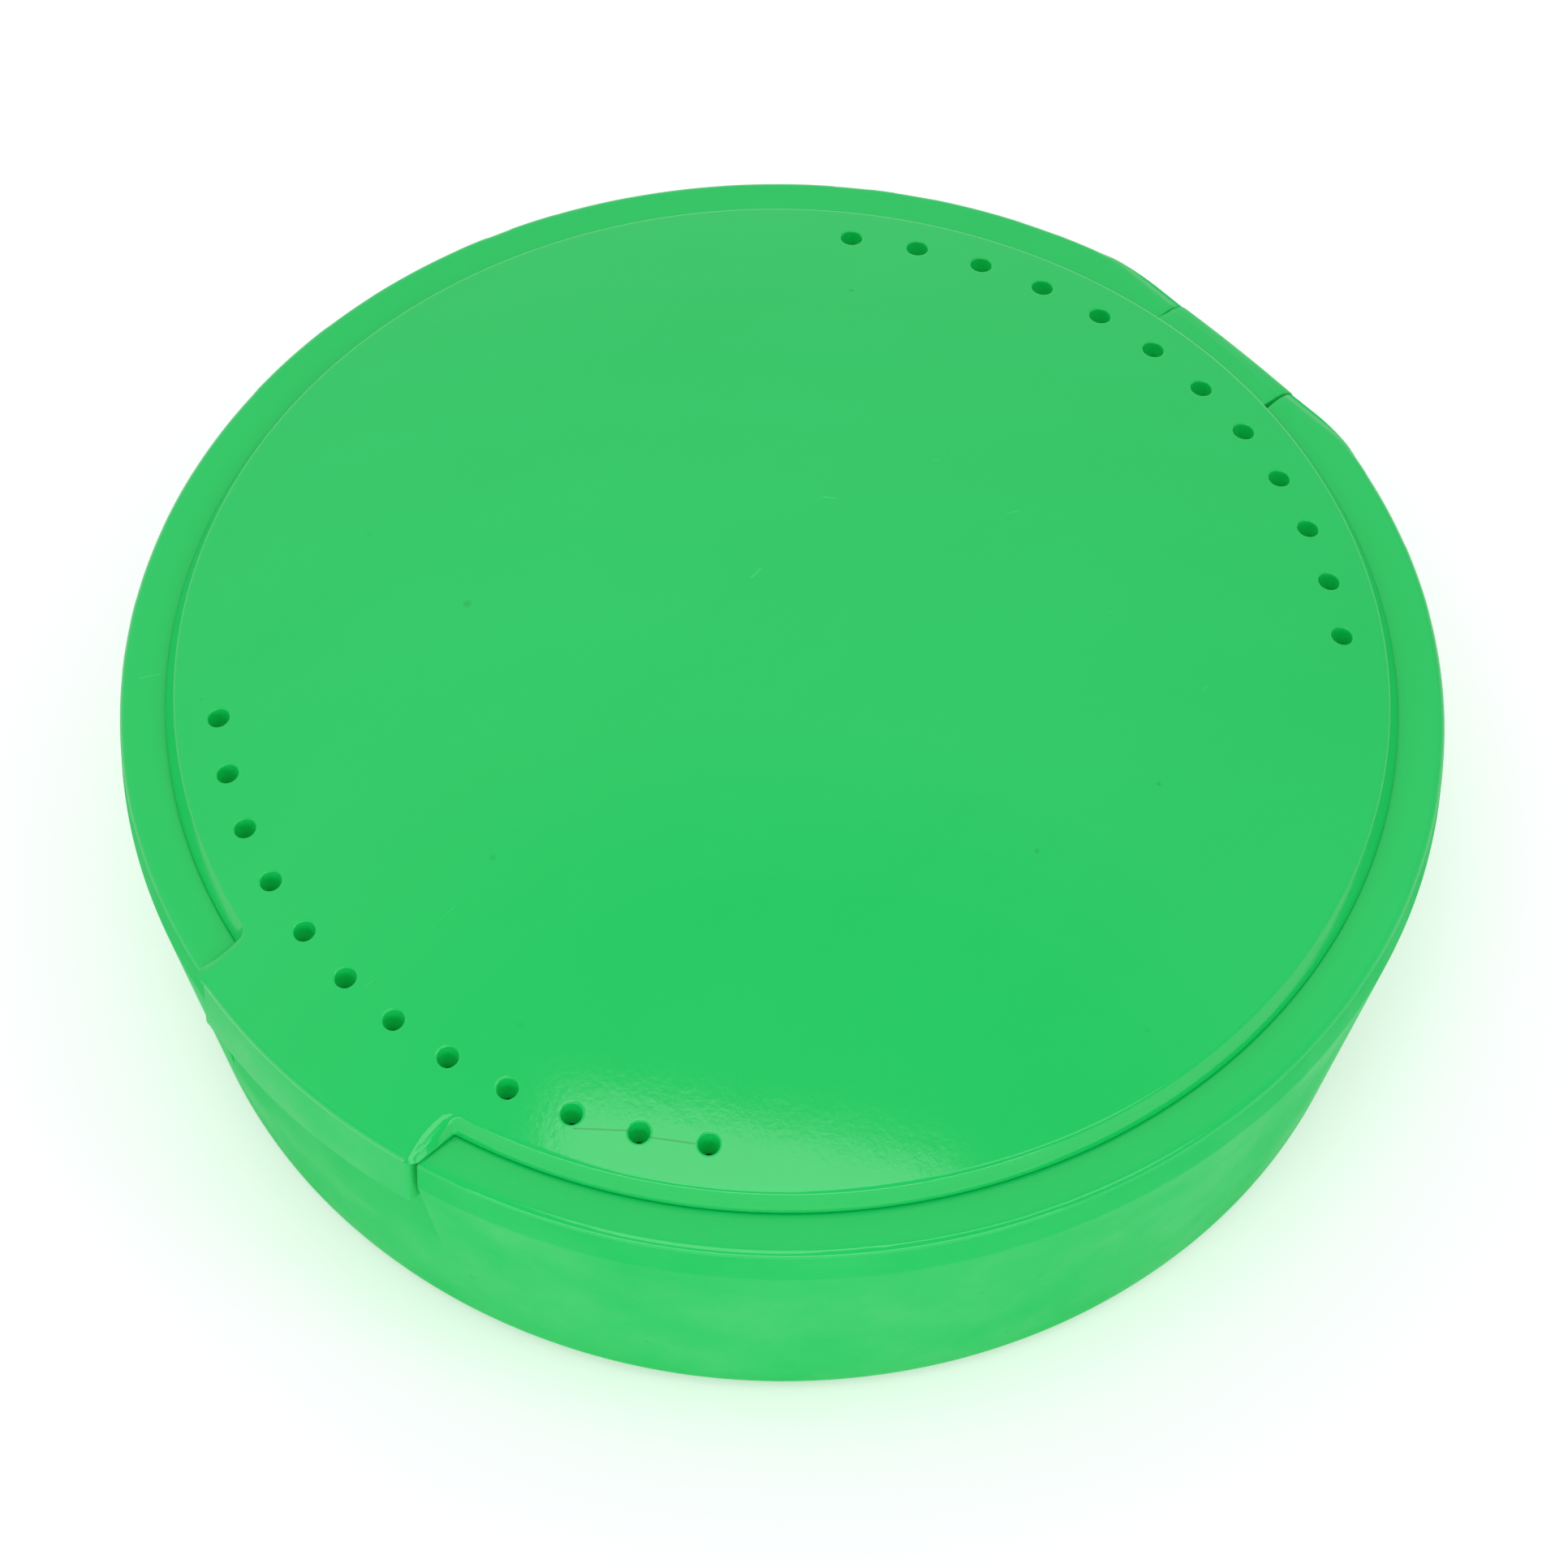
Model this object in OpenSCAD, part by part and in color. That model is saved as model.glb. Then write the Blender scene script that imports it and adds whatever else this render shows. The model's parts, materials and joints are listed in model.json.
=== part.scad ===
// Round orthodontic retainer case, in millimetres.
// A tapered bowl with a wide rim carries a vented, domed lid. The lid swings on a pinned knuckle
// at the back, and a thumb tab at the front overhangs the rim and snaps over the bowl's edge.
// The origin is the centre of the underside, +Z is up, the tab is at -Y and the hinge at +Y.

/* [Bowl] */
// Outer radius of the rim
rim_r = 41.2; // [36:0.1:50]
// Height of the rim's flat top above the table
rim_h = 21.75; // [16:0.25:40]
// Width of the rim's flat top, from its outer face to the mouth
rim_w = 4; // [3.6:0.1:6]
// Height of the upright band below the rim's top
band_h = 2.65; // [1:0.05:5]
// Round on the rim's outer top edge
rim_round = 0.35; // [0.1:0.05:0.8]
// Round on the rim's inner top edge
mouth_round = 0.3; // [0.1:0.05:0.6]
// Lean of the bowl's outer wall from upright, in degrees
wall_lean = 12.4; // [2:0.2:18]
// Round at the outer bottom edge
foot_round = 2.3; // [0.5:0.1:4]
// Thickness of the wall where it meets the floor
wall_t = 1.8; // [1:0.1:3]
// Thickness of the floor
floor_t = 2; // [1.2:0.1:4]
// Round between the floor and the wall inside
well_round = 3; // [0.5:0.25:6]
// Depth of the shallow hollow in the underside
foot_hollow = 0.4; // [0.1:0.05:0.8]
// Width of the flat ring that the case stands on
foot_ring_w = 3; // [1:0.25:6]

/* [Lid] */
// Gap between the lid's lip and the rim
lip_gap = 0.15; // [0.05:0.05:0.5]
// How far the lip reaches over the rim, measured from the mouth
lip_over = 1.15; // [0.8:0.05:1.8]
// Height of the lip's side face
lip_h = 1.3; // [0.8:0.05:3]
// How much wider the lip's side face is at its bottom than at its top
lip_flare = 0.65; // [0.1:0.05:1]
// Round on the crease between the dome and the lip's side face
lip_round = 0.25; // [0.1:0.05:0.5]
// Rise of the dome above the lip's top edge
dome_rise = 5.45; // [3:0.05:10]
// Thickness of the domed plate
lid_t = 1.6; // [1:0.1:3]
// Thickness of the locating ring under the lid
ring_t = 0.9; // [0.6:0.05:1.2]
// How far the locating ring reaches below the rim's top
ring_drop = 1.5; // [0.5:0.1:3]
// Clearance between the locating ring and the bowl's mouth
ring_clear = 0.35; // [0.2:0.05:0.6]
// Width of the break in the locating ring, at the hinge
ring_break_w = 44; // [40:1:56]

/* [Vents] */
// Diameter of a vent hole
vent_d = 1.4; // [0.8:0.1:2]
// Number of vent holes in each of the two rows
vent_count = 12; // [1:1:16]
// Angle between neighbouring vent holes, in degrees
vent_pitch = 7; // [5:0.5:10]
// Distance from the lip's top edge in to the row of vent holes
vent_inset = 2.7; // [2.6:0.1:8]

/* [Thumb tab] */
// Width of the thumb tab
tab_w = 18.4; // [12:0.2:30]
// Gap between the tab's sides and the ends of the rim
tab_gap = 0.45; // [0.2:0.05:1]
// Round on the tab's outer top edge
tab_round = 0.4; // [0.1:0.05:0.8]
// Round in the corner between the tab's side and the lip
tab_fillet = 1; // [0.3:0.1:2]
// How far the skirt's lower edge lies below the rim's top
skirt_drop = 4.5; // [2.5:0.1:8]
// Thickness of the skirt at its top
skirt_t = 1.5; // [1:0.1:2.5]
// Lean of the skirt's face from upright, in degrees
skirt_lean = 2; // [0:0.5:5]
// Depth of the thumb recess behind the rim's outer face
recess_d = 2; // [1.4:0.1:2.4]
// How far the bowl's edge is lowered under the tab
notch_d = 1; // [0.5:0.1:1.8]
// Height of each of the two snap ridges
snap_h = 0.3; // [0.1:0.05:0.5]
// Clearance between the tips of the snap ridges
snap_clear = 0.2; // [0.1:0.05:0.4]
// Width of the snap ridges
snap_w = 10; // [4:0.5:11]

/* [Hinge] */
// Diameter of the hinge barrel
barrel_d = 4; // [3.4:0.1:4.6]
// How far the barrel lies behind the rim's outermost line
barrel_inset = 0.15; // [0:0.05:0.6]
// Length over which the rim is rounded off as the barrel
barrel_len = 23; // [18:0.5:30]
// How much further back the bowl's ears lie than the lid's knuckle
ear_inset = 0.15; // [0:0.05:0.4]
// Width of the lid's knuckle
knuckle_w = 9.6; // [6:0.1:13]
// Gap between the knuckle's ends and the ears
seam = 0.12; // [0.05:0.01:0.3]
// Gap round the knuckle in its slot
knuckle_gap = 0.25; // [0.1:0.05:0.5]
// Diameter of the hinge pin
pin_d = 2; // [1.2:0.1:2.4]
// Running clearance round the pin in the knuckle, on the radius
pin_clear = 0.05; // [0.02:0.01:0.1]
// Length of the pin held in each ear
pin_grip = 4; // [2:0.25:5]
// Chamfer at the pin's ends
pin_chamfer = 0.2; // [0.05:0.05:0.4]

/* [Hidden] */
$fn = 96;

case_green = [0.20, 0.79, 0.41];
pin_steel = [0.72, 0.73, 0.74];

// Cutters and joined solids reach this far past the faces that they meet
past = 1;
// Larger than the whole case, for cutters with an open side
far = 4 * rim_r;

// Radius at which the flat bottom of a cup passes into the round that leads up its leaning wall
function flat_r(bottom_r, lean, round_r) = bottom_r + round_r * (tan(lean) - 1 / cos(lean));

// Bowl: the wall's lean carries the band's lower edge down to the foot
band_z = rim_h - band_h;
foot_r = rim_r - band_z * tan(wall_lean);
ring_in_r = flat_r(foot_r, wall_lean, foot_round) - foot_ring_w;
mouth_r = rim_r - rim_w;
well_r = foot_r + floor_t * tan(wall_lean) - wall_t;
well_lean = atan((mouth_r - well_r) / (rim_h - floor_t));

// Lid: a spherical cap over a flared lip
lip_z = rim_h + lip_gap;
lip_r = mouth_r + lip_over;
crease_r = lip_r - lip_flare;
crease_z = lip_z + lip_h;
dome_r = (crease_r * crease_r + dome_rise * dome_rise) / (2 * dome_rise);
dome_z = crease_z + dome_rise - dome_r;
lip_face = atan2(lip_flare, lip_h);
ring_r = mouth_r - ring_clear;
vent_r = crease_r - vent_inset;

// Thumb tab: the recess in the bowl sets where the ridges, the skirt and the tab's face lie
recess_r = rim_r - recess_d;
skirt_r = recess_r + 2 * snap_h + snap_clear;
tab_r = skirt_r + skirt_t;
skirt_z = rim_h - skirt_drop;
notch_z = rim_h - notch_d;
web_z = notch_z + lip_gap;
notch_w = tab_w + 2 * tab_gap;
base_ridge_z = (notch_z + skirt_z) / 2 + snap_h;
lid_ridge_z = base_ridge_z - 2 * snap_h - snap_clear;

// Hinge: the barrel's top is level with the rim
hinge_y = rim_r - barrel_inset - barrel_d / 2;
hinge_z = rim_h - barrel_d / 2;
slot_w = knuckle_w + 2 * seam;
slot_r = barrel_d / 2 + knuckle_gap;
pin_len = slot_w + 2 * pin_grip;

// A cylinder along X through the hinge's height, centred in X
module bar(d, len, y = hinge_y) {
    translate([-len / 2, y, hinge_z])
        rotate([0, 90, 0])
            cylinder(d = d, h = len);
}

// A block centred in X that fills y0 to y1 and z0 to z1
module slab(w, y0, y1, z0, z1) {
    translate([-w / 2, y0, z0])
        cube([w, y1 - y0, z1 - z0]);
}

// Centre of a round of radius e that touches the dome's outline and a straight face through p,
// where a is the angle of the face's outward normal
function dome_edge(p, a, e) =
    let (
        q = p - e * [cos(a), sin(a)] - [0, dome_z],
        along = [-sin(a), cos(a)],
        h = q * along
    )
    q + along * (sqrt(h * h - q * q + pow(dome_r - e, 2)) - h) + [0, dome_z];

// What a round of radius e about c takes off the edge between such a face and the dome
module dome_edge_cut(c, a, e) {
    b = atan2(c[1] - dome_z, c[0]);
    middle = (a + b) / 2;
    reach = 2 * e;
    difference() {
        polygon([
            c,
            c + reach * [cos(a), sin(a)],
            c + reach / cos(b - middle) * [cos(middle), sin(middle)],
            c + reach * [cos(b), sin(b)]
        ]);
        translate(c)
            circle(e);
    }
}

// Half profile of a cup: flat bottom at z0, leaning wall up to z1, rounded corner between them
module cup_profile(bottom_r, z0, z1, lean, round_r) {
    c = flat_r(bottom_r, lean, round_r);
    translate([c, z0 + round_r])
        intersection() {
            circle(round_r);
            translate([0, -round_r])
                square(2 * round_r);
        }
    polygon([
        [0, z0],
        [c, z0],
        [c, z0 + round_r],
        [c + round_r * cos(lean), z0 + round_r * (1 - sin(lean))],
        [bottom_r + (z1 - z0) * tan(lean), z1],
        [0, z1]
    ]);
}

// Half profile of the rim's band, with its rounded outer top edge
module rim_profile() {
    difference() {
        translate([mouth_r - past, band_z])
            square([rim_w + past, band_h]);
        translate([rim_r - rim_round, rim_h - rim_round])
            difference() {
                square(rim_round + past);
                circle(rim_round);
            }
    }
}

// Half profile of the space inside the bowl, flared at the mouth by the rim's inner round
module well_profile() {
    cup_profile(well_r, floor_t, rim_h + past, well_lean, well_round);
    difference() {
        translate([0, rim_h - mouth_round])
            square([mouth_r + mouth_round, mouth_round + past]);
        translate([mouth_r + mouth_round, rim_h - mouth_round])
            circle(mouth_round);
    }
}

// Bowl turned about Z: outside, less the well and the hollow in the underside
module bowl() {
    rotate_extrude()
        difference() {
            union() {
                cup_profile(foot_r, 0, band_z, wall_lean, foot_round);
                rim_profile();
            }
            well_profile();
            translate([0, -past])
                square([ring_in_r, foot_hollow + past]);
        }
}

// Room for the thumb tab: an upright recess in the wall, and a lowered edge behind it
module tab_recess() {
    difference() {
        slab(notch_w, -far, 0, -past, rim_h + past);
        cylinder(r = recess_r, h = far, center = true);
    }
    slab(notch_w, -far, 0, notch_z, rim_h + past);
}

// Room for the lid's knuckle, open to the back so that the lid can swing over
module knuckle_slot() {
    bar(2 * slot_r, slot_w);
    slab(slot_w, hinge_y - slot_r, far, hinge_z, rim_h + past);
    slab(slot_w, hinge_y, far, hinge_z - slot_r, hinge_z);
}

// What is cut from the rim's back edge to leave it rounded off as a barrel
module barrel_relief() {
    ear_y = hinge_y - ear_inset;
    difference() {
        slab(barrel_len, ear_y, far, 0, rim_h + past);
        bar(barrel_d, barrel_len + 2 * past, ear_y);
        slab(barrel_len + 2 * past, ear_y - past, ear_y + barrel_d / 2, -past, hinge_z);
    }
}

// Bore for the pin: blind in the ear at +X, and right through the ear at -X where the pin goes in
module pin_bore() {
    translate([-far, hinge_y, hinge_z])
        rotate([0, 90, 0])
            cylinder(d = pin_d, h = far + pin_len / 2);
}

// Low rounded ridge on a wall of radius r at height z, standing out by snap_h
module snap_ridge(r, z, outward) {
    intersection() {
        rotate_extrude()
            translate([r - outward * snap_h, z])
                circle(2 * snap_h);
        slab(snap_w, -far, 0, 0, far);
    }
}

module base_shell() {
    color(case_green) {
        difference() {
            bowl();
            tab_recess();
            knuckle_slot();
            barrel_relief();
            pin_bore();
        }
        snap_ridge(recess_r, base_ridge_z, 1);
    }
}

// Half profile of all that lies under the dome's outer surface and inside the lip's side face
module lid_outline(r, z) {
    intersection() {
        translate([0, dome_z])
            circle(dome_r, $fn = 720);
        polygon([
            [0, z],
            [r, z],
            [r, lip_z],
            [r - lip_flare, crease_z],
            [r - lip_flare, crease_z + dome_rise],
            [0, crease_z + dome_rise]
        ]);
    }
}

// Domed plate with its lip, turned about Z
module dome_plate() {
    rotate_extrude($fn = 360)
        difference() {
            lid_outline(lip_r, lip_z);
            dome_edge_cut(dome_edge([lip_r, lip_z], lip_face, lip_round), lip_face, lip_round);
            translate([0, dome_z])
                circle(dome_r - lid_t, $fn = 720);
        }
}

// Locating ring under the dome, which drops inside the mouth and is left out near the hinge
module locating_ring() {
    difference() {
        translate([0, 0, rim_h - ring_drop])
            cylinder(r = ring_r, h = ring_drop + lip_gap + lip_h / 2);
        cylinder(r = ring_r - ring_t, h = far);
        slab(ring_break_w, 0, far, 0, far);
    }
}

// Half section of the tab below the dome: a web over the bowl's edge, and the skirt
module tab_section() {
    translate([ring_r - ring_t, web_z])
        square([tab_r - ring_r + ring_t, crease_z - web_z]);
    polygon([
        [skirt_r, skirt_z],
        [tab_r - skirt_drop * tan(skirt_lean), skirt_z],
        [tab_r, rim_h],
        [skirt_r, rim_h]
    ]);
}

// Thumb tab: the dome's surface runs on over the rim and turns down as a skirt
module thumb_tab() {
    intersection() {
        rotate_extrude($fn = 360)
            difference() {
                intersection() {
                    translate([0, dome_z])
                        circle(dome_r, $fn = 720);
                    tab_section();
                }
                dome_edge_cut(dome_edge([tab_r, rim_h], 0, tab_round), 0, tab_round);
            }
        slab(tab_w, -far, 0, 0, far);
    }
}

// Rounded corners between the tab's sides and the lip
module tab_corners() {
    side_x = tab_w / 2;
    lip_y = -sqrt(pow(lip_r, 2) - pow(side_x, 2));
    c = [side_x + tab_fillet, -sqrt(pow(lip_r + tab_fillet, 2) - pow(side_x + tab_fillet, 2))];
    intersection() {
        rotate_extrude($fn = 360)
            lid_outline(lip_r + rim_w, lip_z);
        for (side = [0, 1])
            mirror([side, 0, 0])
                translate([0, 0, lip_z])
                    linear_extrude(lip_h + dome_rise)
                        difference() {
                            polygon([
                                c * lip_r / norm(c),
                                c,
                                [side_x - past, c[1]],
                                [side_x - past, lip_y]
                            ]);
                            translate(c)
                                circle(tab_fillet);
                        }
    }
}

// Knuckle of the hinge, with the neck that carries it under the lid's edge
module knuckle() {
    bar(barrel_d, knuckle_w);
    intersection() {
        slab(knuckle_w, hinge_y - barrel_d / 2, hinge_y, hinge_z, crease_z);
        rotate_extrude($fn = 360)
            lid_outline(lip_r, hinge_z);
    }
}

// Two rows of vent holes, centred on the tab and on the hinge
module vents() {
    for (middle = [90, 270], i = [0 : vent_count - 1])
        rotate([0, 0, middle + (i - (vent_count - 1) / 2) * vent_pitch])
            translate([vent_r, 0, lip_z])
                cylinder(d = vent_d, h = lip_h + dome_rise, $fn = 32);
}

module lid_shell() {
    color(case_green) {
        difference() {
            union() {
                dome_plate();
                locating_ring();
                thumb_tab();
                tab_corners();
                knuckle();
            }
            vents();
            bar(pin_d + 2 * pin_clear, knuckle_w + 2 * past);
        }
        snap_ridge(skirt_r, lid_ridge_z, -1);
    }
}

module hinge_pin() {
    color(pin_steel)
        translate([-pin_len / 2, hinge_y, hinge_z])
            rotate([0, 90, 0]) {
                cylinder(d1 = pin_d - 2 * pin_chamfer, d2 = pin_d, h = pin_chamfer);
                translate([0, 0, pin_chamfer])
                    cylinder(d = pin_d, h = pin_len - 2 * pin_chamfer);
                translate([0, 0, pin_len - pin_chamfer])
                    cylinder(d1 = pin_d, d2 = pin_d - 2 * pin_chamfer, h = pin_chamfer);
            }
}

base_shell();
lid_shell();
hinge_pin();
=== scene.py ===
"""A round retainer case: its bowl, domed lid and hinge pin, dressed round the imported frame."""

import json
import math

import bpy
import numpy as np
from mathutils import Matrix, Vector


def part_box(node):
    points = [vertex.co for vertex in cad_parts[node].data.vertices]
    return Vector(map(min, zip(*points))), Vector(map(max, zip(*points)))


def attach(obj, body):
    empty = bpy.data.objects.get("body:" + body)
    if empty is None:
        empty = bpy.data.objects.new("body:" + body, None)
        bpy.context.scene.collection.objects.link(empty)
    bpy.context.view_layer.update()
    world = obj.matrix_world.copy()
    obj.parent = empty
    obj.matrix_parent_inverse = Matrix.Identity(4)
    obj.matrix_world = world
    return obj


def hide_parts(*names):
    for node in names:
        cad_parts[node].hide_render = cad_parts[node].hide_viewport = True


bl_info = {
    "name": "Retainer case",
    "version": (1, 0, 0),
    "blender": (4, 5, 0),
    "location": "3D View > Sidebar > Retainer case",
    "description": "Models the bowl and the lid of a round retainer case, and lights it",
    "category": "Object",
}

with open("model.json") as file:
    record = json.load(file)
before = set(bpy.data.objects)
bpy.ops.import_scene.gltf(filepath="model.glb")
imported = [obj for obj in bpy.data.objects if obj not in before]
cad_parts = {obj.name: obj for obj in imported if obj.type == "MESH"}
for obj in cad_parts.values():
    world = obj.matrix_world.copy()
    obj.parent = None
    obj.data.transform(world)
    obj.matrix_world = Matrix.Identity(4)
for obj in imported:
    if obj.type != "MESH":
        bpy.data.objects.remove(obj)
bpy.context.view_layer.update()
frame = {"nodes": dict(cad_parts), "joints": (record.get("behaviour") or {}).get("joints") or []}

MM = 0.001
HINGE = frame["joints"][0]["pos_m"]
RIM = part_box("base_shell")[1]
LID_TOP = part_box("lid_shell")[1].z


def length(name, description, default):
    """A size in metres, for a property group."""
    return bpy.props.FloatProperty(
        name=name,
        description=description,
        default=default,
        min=0.0,
        precision=5,
        subtype="DISTANCE",
        unit="LENGTH",
    )


def angle(name, description, degrees):
    """An angle, for a property group."""
    return bpy.props.FloatProperty(
        name=name,
        description=description,
        default=math.radians(degrees),
        subtype="ANGLE",
        unit="ROTATION",
    )


def factor(name, description, default, most=1.0):
    """A plain number, for a property group."""
    return bpy.props.FloatProperty(
        name=name, description=description, default=default, min=0.0, max=most
    )


def colour(name, description, default):
    """A colour, for a property group."""
    return bpy.props.FloatVectorProperty(
        name=name,
        description=description,
        default=default,
        min=0.0,
        max=1.0,
        size=3,
        subtype="COLOR",
    )


class BowlSizes(bpy.types.PropertyGroup):
    """Sizes of the bowl."""

    rim_r: length("Rim radius", "Outer radius of the rim", RIM.x)
    rim_z: length("Rim height", "Height of the rim's flat top", RIM.z)
    band_h: length("Band height", "Height of the upright band under the rim", 2.65 * MM)
    rim_round: length("Rim round", "Round on the rim's outer edge", 0.48 * MM)
    mouth_r: length("Mouth radius", "Radius of the mouth", 37.2 * MM)
    mouth_round: length("Mouth round", "Round on the rim's inner edge", 0.3 * MM)
    wall_lean: angle("Wall lean", "Lean of the outer wall from upright", 12.4)
    foot_round: length("Foot round", "Round at the outer bottom edge", 2.3 * MM)
    floor_z: length("Floor", "Thickness of the floor", 2 * MM)
    well_r: length("Well radius", "Radius of the inside at the floor", 35.64 * MM)
    well_round: length("Well round", "Round between the floor and the wall", 3 * MM)
    hollow: length("Hollow", "Depth of the hollow in the underside", 0.4 * MM)
    foot_w: length("Foot ring", "Width of the ring that the case stands on", 3 * MM)
    recess_r: length("Recess radius", "Radius of the thumb recess's face", 39.2 * MM)
    recess_x: length("Recess half width", "Half width of the thumb recess", 9.5 * MM)
    notch_z: length("Notch height", "Height of the lowered edge under the tab", 20.75 * MM)
    corner: length("Cut corners", "Round on the corners of the recess", 0.11 * MM)
    ear_x: length("Ear place", "Distance of the hinge ears from the middle", 4.92 * MM)
    ear_y: length("Ear line", "Middle of the round that the ears carry", HINGE[1] - 0.15 * MM)
    ear_end: length("Ear end", "Where the ears have run out into the rim", 12.6 * MM)
    slot_r: length("Slot radius", "Radius of the slot for the knuckle", 2.25 * MM)
    ridge_z: length("Snap height", "Height of the snap ridge", 19.3 * MM)


class LidSizes(bpy.types.PropertyGroup):
    """Sizes of the lid."""

    top_z: length("Top", "Height of the dome's top", LID_TOP)
    crease_r: length("Crease radius", "Radius of the crease round the dome", 37.7 * MM)
    crease_z: length("Crease height", "Height of the crease round the dome", 23.2 * MM)
    lip_r: length("Lip radius", "Radius of the lip's lower edge", 38.35 * MM)
    lip_z: length("Lip height", "Height of the lip's lower edge", 21.9 * MM)
    thickness: length("Thickness", "Thickness of the domed plate", 1.6 * MM)
    crease_round: length("Crease round", "Round on the crease", 0.42 * MM)
    lip_step: length("Lip step", "Step at the mould line on the lip's side", 0.008 * MM)
    ring_out: length("Ring outside", "Outer radius of the locating ring", 36.85 * MM)
    ring_in: length("Ring inside", "Inner radius of the locating ring", 35.95 * MM)
    ring_z: length("Ring height", "Height of the locating ring's lower edge", 20.25 * MM)
    ring_break: angle("Ring break", "Half angle of the gap in the ring at the hinge", 37.2)
    vent_r: length("Vent radius", "Radius of a vent hole", 0.66 * MM)
    vent_draft: length("Vent draft", "How much narrower a vent hole is at its bottom", 0.36 * MM)
    vent_row: length("Vent row", "Radius of the rows of vent holes", 35 * MM)
    vent_round: length("Vent round", "Round on the edge of a vent hole", 0.13 * MM)
    tab_x: length("Tab half width", "Half width of the thumb tab", 9.2 * MM)
    tab_r: length("Tab radius", "Radius of the tab's front", 41.5 * MM)
    tab_round: length("Tab round", "Round on the tab's edges", 0.4 * MM)
    tab_side_round: length("Tab side round", "Round on the tab's side edges", 1.3 * MM)
    tab_brow: length("Tab brow", "How far the tab's side overhangs the gap beside it", 0.58 * MM)
    tab_corner: length("Tab corner", "Round of the tab's front corners", 0.45 * MM)
    tab_fillet: length("Tab fillet", "Round where the tab leaves the lip", 0.8 * MM)
    skirt_z: length("Skirt height", "Height of the skirt's lower edge", 17.25 * MM)
    skirt_r: length("Skirt inside", "Radius of the skirt's inner face", 40 * MM)
    skirt_lean: angle("Skirt lean", "Lean of the skirt's face from upright", 2)
    web_z: length("Web height", "Height of the tab's underside", 20.9 * MM)
    ridge_z: length("Snap height", "Height of the snap ridge", 18.5 * MM)
    barrel_r: length("Barrel radius", "Radius of the hinge knuckle", 2 * MM)
    knuckle_x: length("Knuckle half width", "Half width of the hinge knuckle", 4.8 * MM)
    play: length("Play", "How far the lid sits to the left in its hinge", 0.08 * MM)
    crown: length("Crown", "How much the knuckle thins to its ends", 0.08 * MM)
    knuckle_round: length("Knuckle round", "Round on the knuckle's ends", 0.08 * MM)
    bore_r: length("Bore radius", "Radius of the knuckle's bore", 1.05 * MM)


class Finish(bpy.types.PropertyGroup):
    """Colours and gloss of the case."""

    green: colour("Green", "Colour of the plastic", (0.008, 0.720, 0.144))
    pale: colour("Pale green", "Lighter clouds in the plastic", (0.0107, 0.741, 0.156))
    speck: colour("Speck", "Dark specks in the plastic", (0.0027, 0.40, 0.067))
    gloss: factor("Gloss", "Roughness of the glossy faces", 0.09)
    wall_satin: factor("Wall satin", "Roughness of the bowl's wall", 0.63)
    band_satin: factor("Band satin", "Roughness of the band under the rim", 0.8)
    skirt_satin: factor("Skirt satin", "Roughness of the tab's skirt", 0.56)
    grain: length("Grain", "Depth of the fine grain on the plastic", 0.03 * MM)
    scratch: length("Scratch", "Depth of a scratch", 0.04 * MM)
    steel: colour("Steel", "Colour of the hinge pin", (0.60, 0.60, 0.61))


class Studio(bpy.types.PropertyGroup):
    """Camera and light."""

    azimuth: angle("Azimuth", "Turn of the camera round the case", 44.55)
    elevation: angle("Elevation", "Height of the camera above the horizon", 54.6)
    roll: angle("Roll", "Roll of the camera", 1.457)
    distance: length("Distance", "Distance from the camera to the case", 630.94 * MM)
    lens: factor("Lens", "Focal length in millimetres", 233.62, 1000.0)
    key: factor("Key light", "Power of the overhead softbox", 0.9, 100.0)
    front: factor("Front light", "Power of the broad light behind the camera", 2.32, 100.0)
    side: factor("Side light", "Power of the strip light at the right", 0.82, 100.0)
    walls: factor("Studio walls", "Brightness of the pale studio walls", 0.75, 10.0)
    ceiling: factor("Studio ceiling", "Brightness of the ceiling against the walls", 0.58, 10.0)
    far_side: factor("Right side", "Brightness of the studio's right against its left", 0.78, 10.0)
    near_side: factor("Near side", "Brightness behind the camera against the far side", 0.4, 10.0)
    floor_lift: factor("Floor lift", "White added to the floor where it is seen", 0.385, 10.0)


# Rings and grids

# A quarter turn, the gap that is merged, the shortest edge that is kept, and a sharp edge's angle
QUARTER = math.pi / 2
MERGE_GAP = 2e-6
TINY_EDGE = 1e-6
SHARP = math.radians(33)


def polar(radius, turn, z):
    """Points at a radius, turned from the front towards +X."""
    turn = np.asarray(turn, float)
    radius, z = np.broadcast_to(radius, turn.shape), np.broadcast_to(z, turn.shape)
    return np.stack([radius * np.sin(turn), -radius * np.cos(turn), z], -1)


def arc(middle, radius, start, end, count):
    """Points of an arc round a middle, from one angle to another."""
    turn = np.linspace(start, end, count)
    return np.asarray(middle) + radius * np.stack([np.cos(turn), np.sin(turn)], -1)


def unit(arrows):
    """Arrows of the same directions and of length one."""
    return arrows / np.linalg.norm(arrows, axis=1, keepdims=True)


def round_start(wall_r, radius, lean):
    """Radius at which a flat meets the round that leads into a wall leaning out from it."""
    return wall_r + radius * (math.tan(lean) - 1 / math.cos(lean))


def fade(value, start, end):
    """Rises smoothly from nothing at the start to one at the end."""
    t = min(max((value - start) / (end - start), 0), 1)
    return t * t * (3 - 2 * t)


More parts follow.
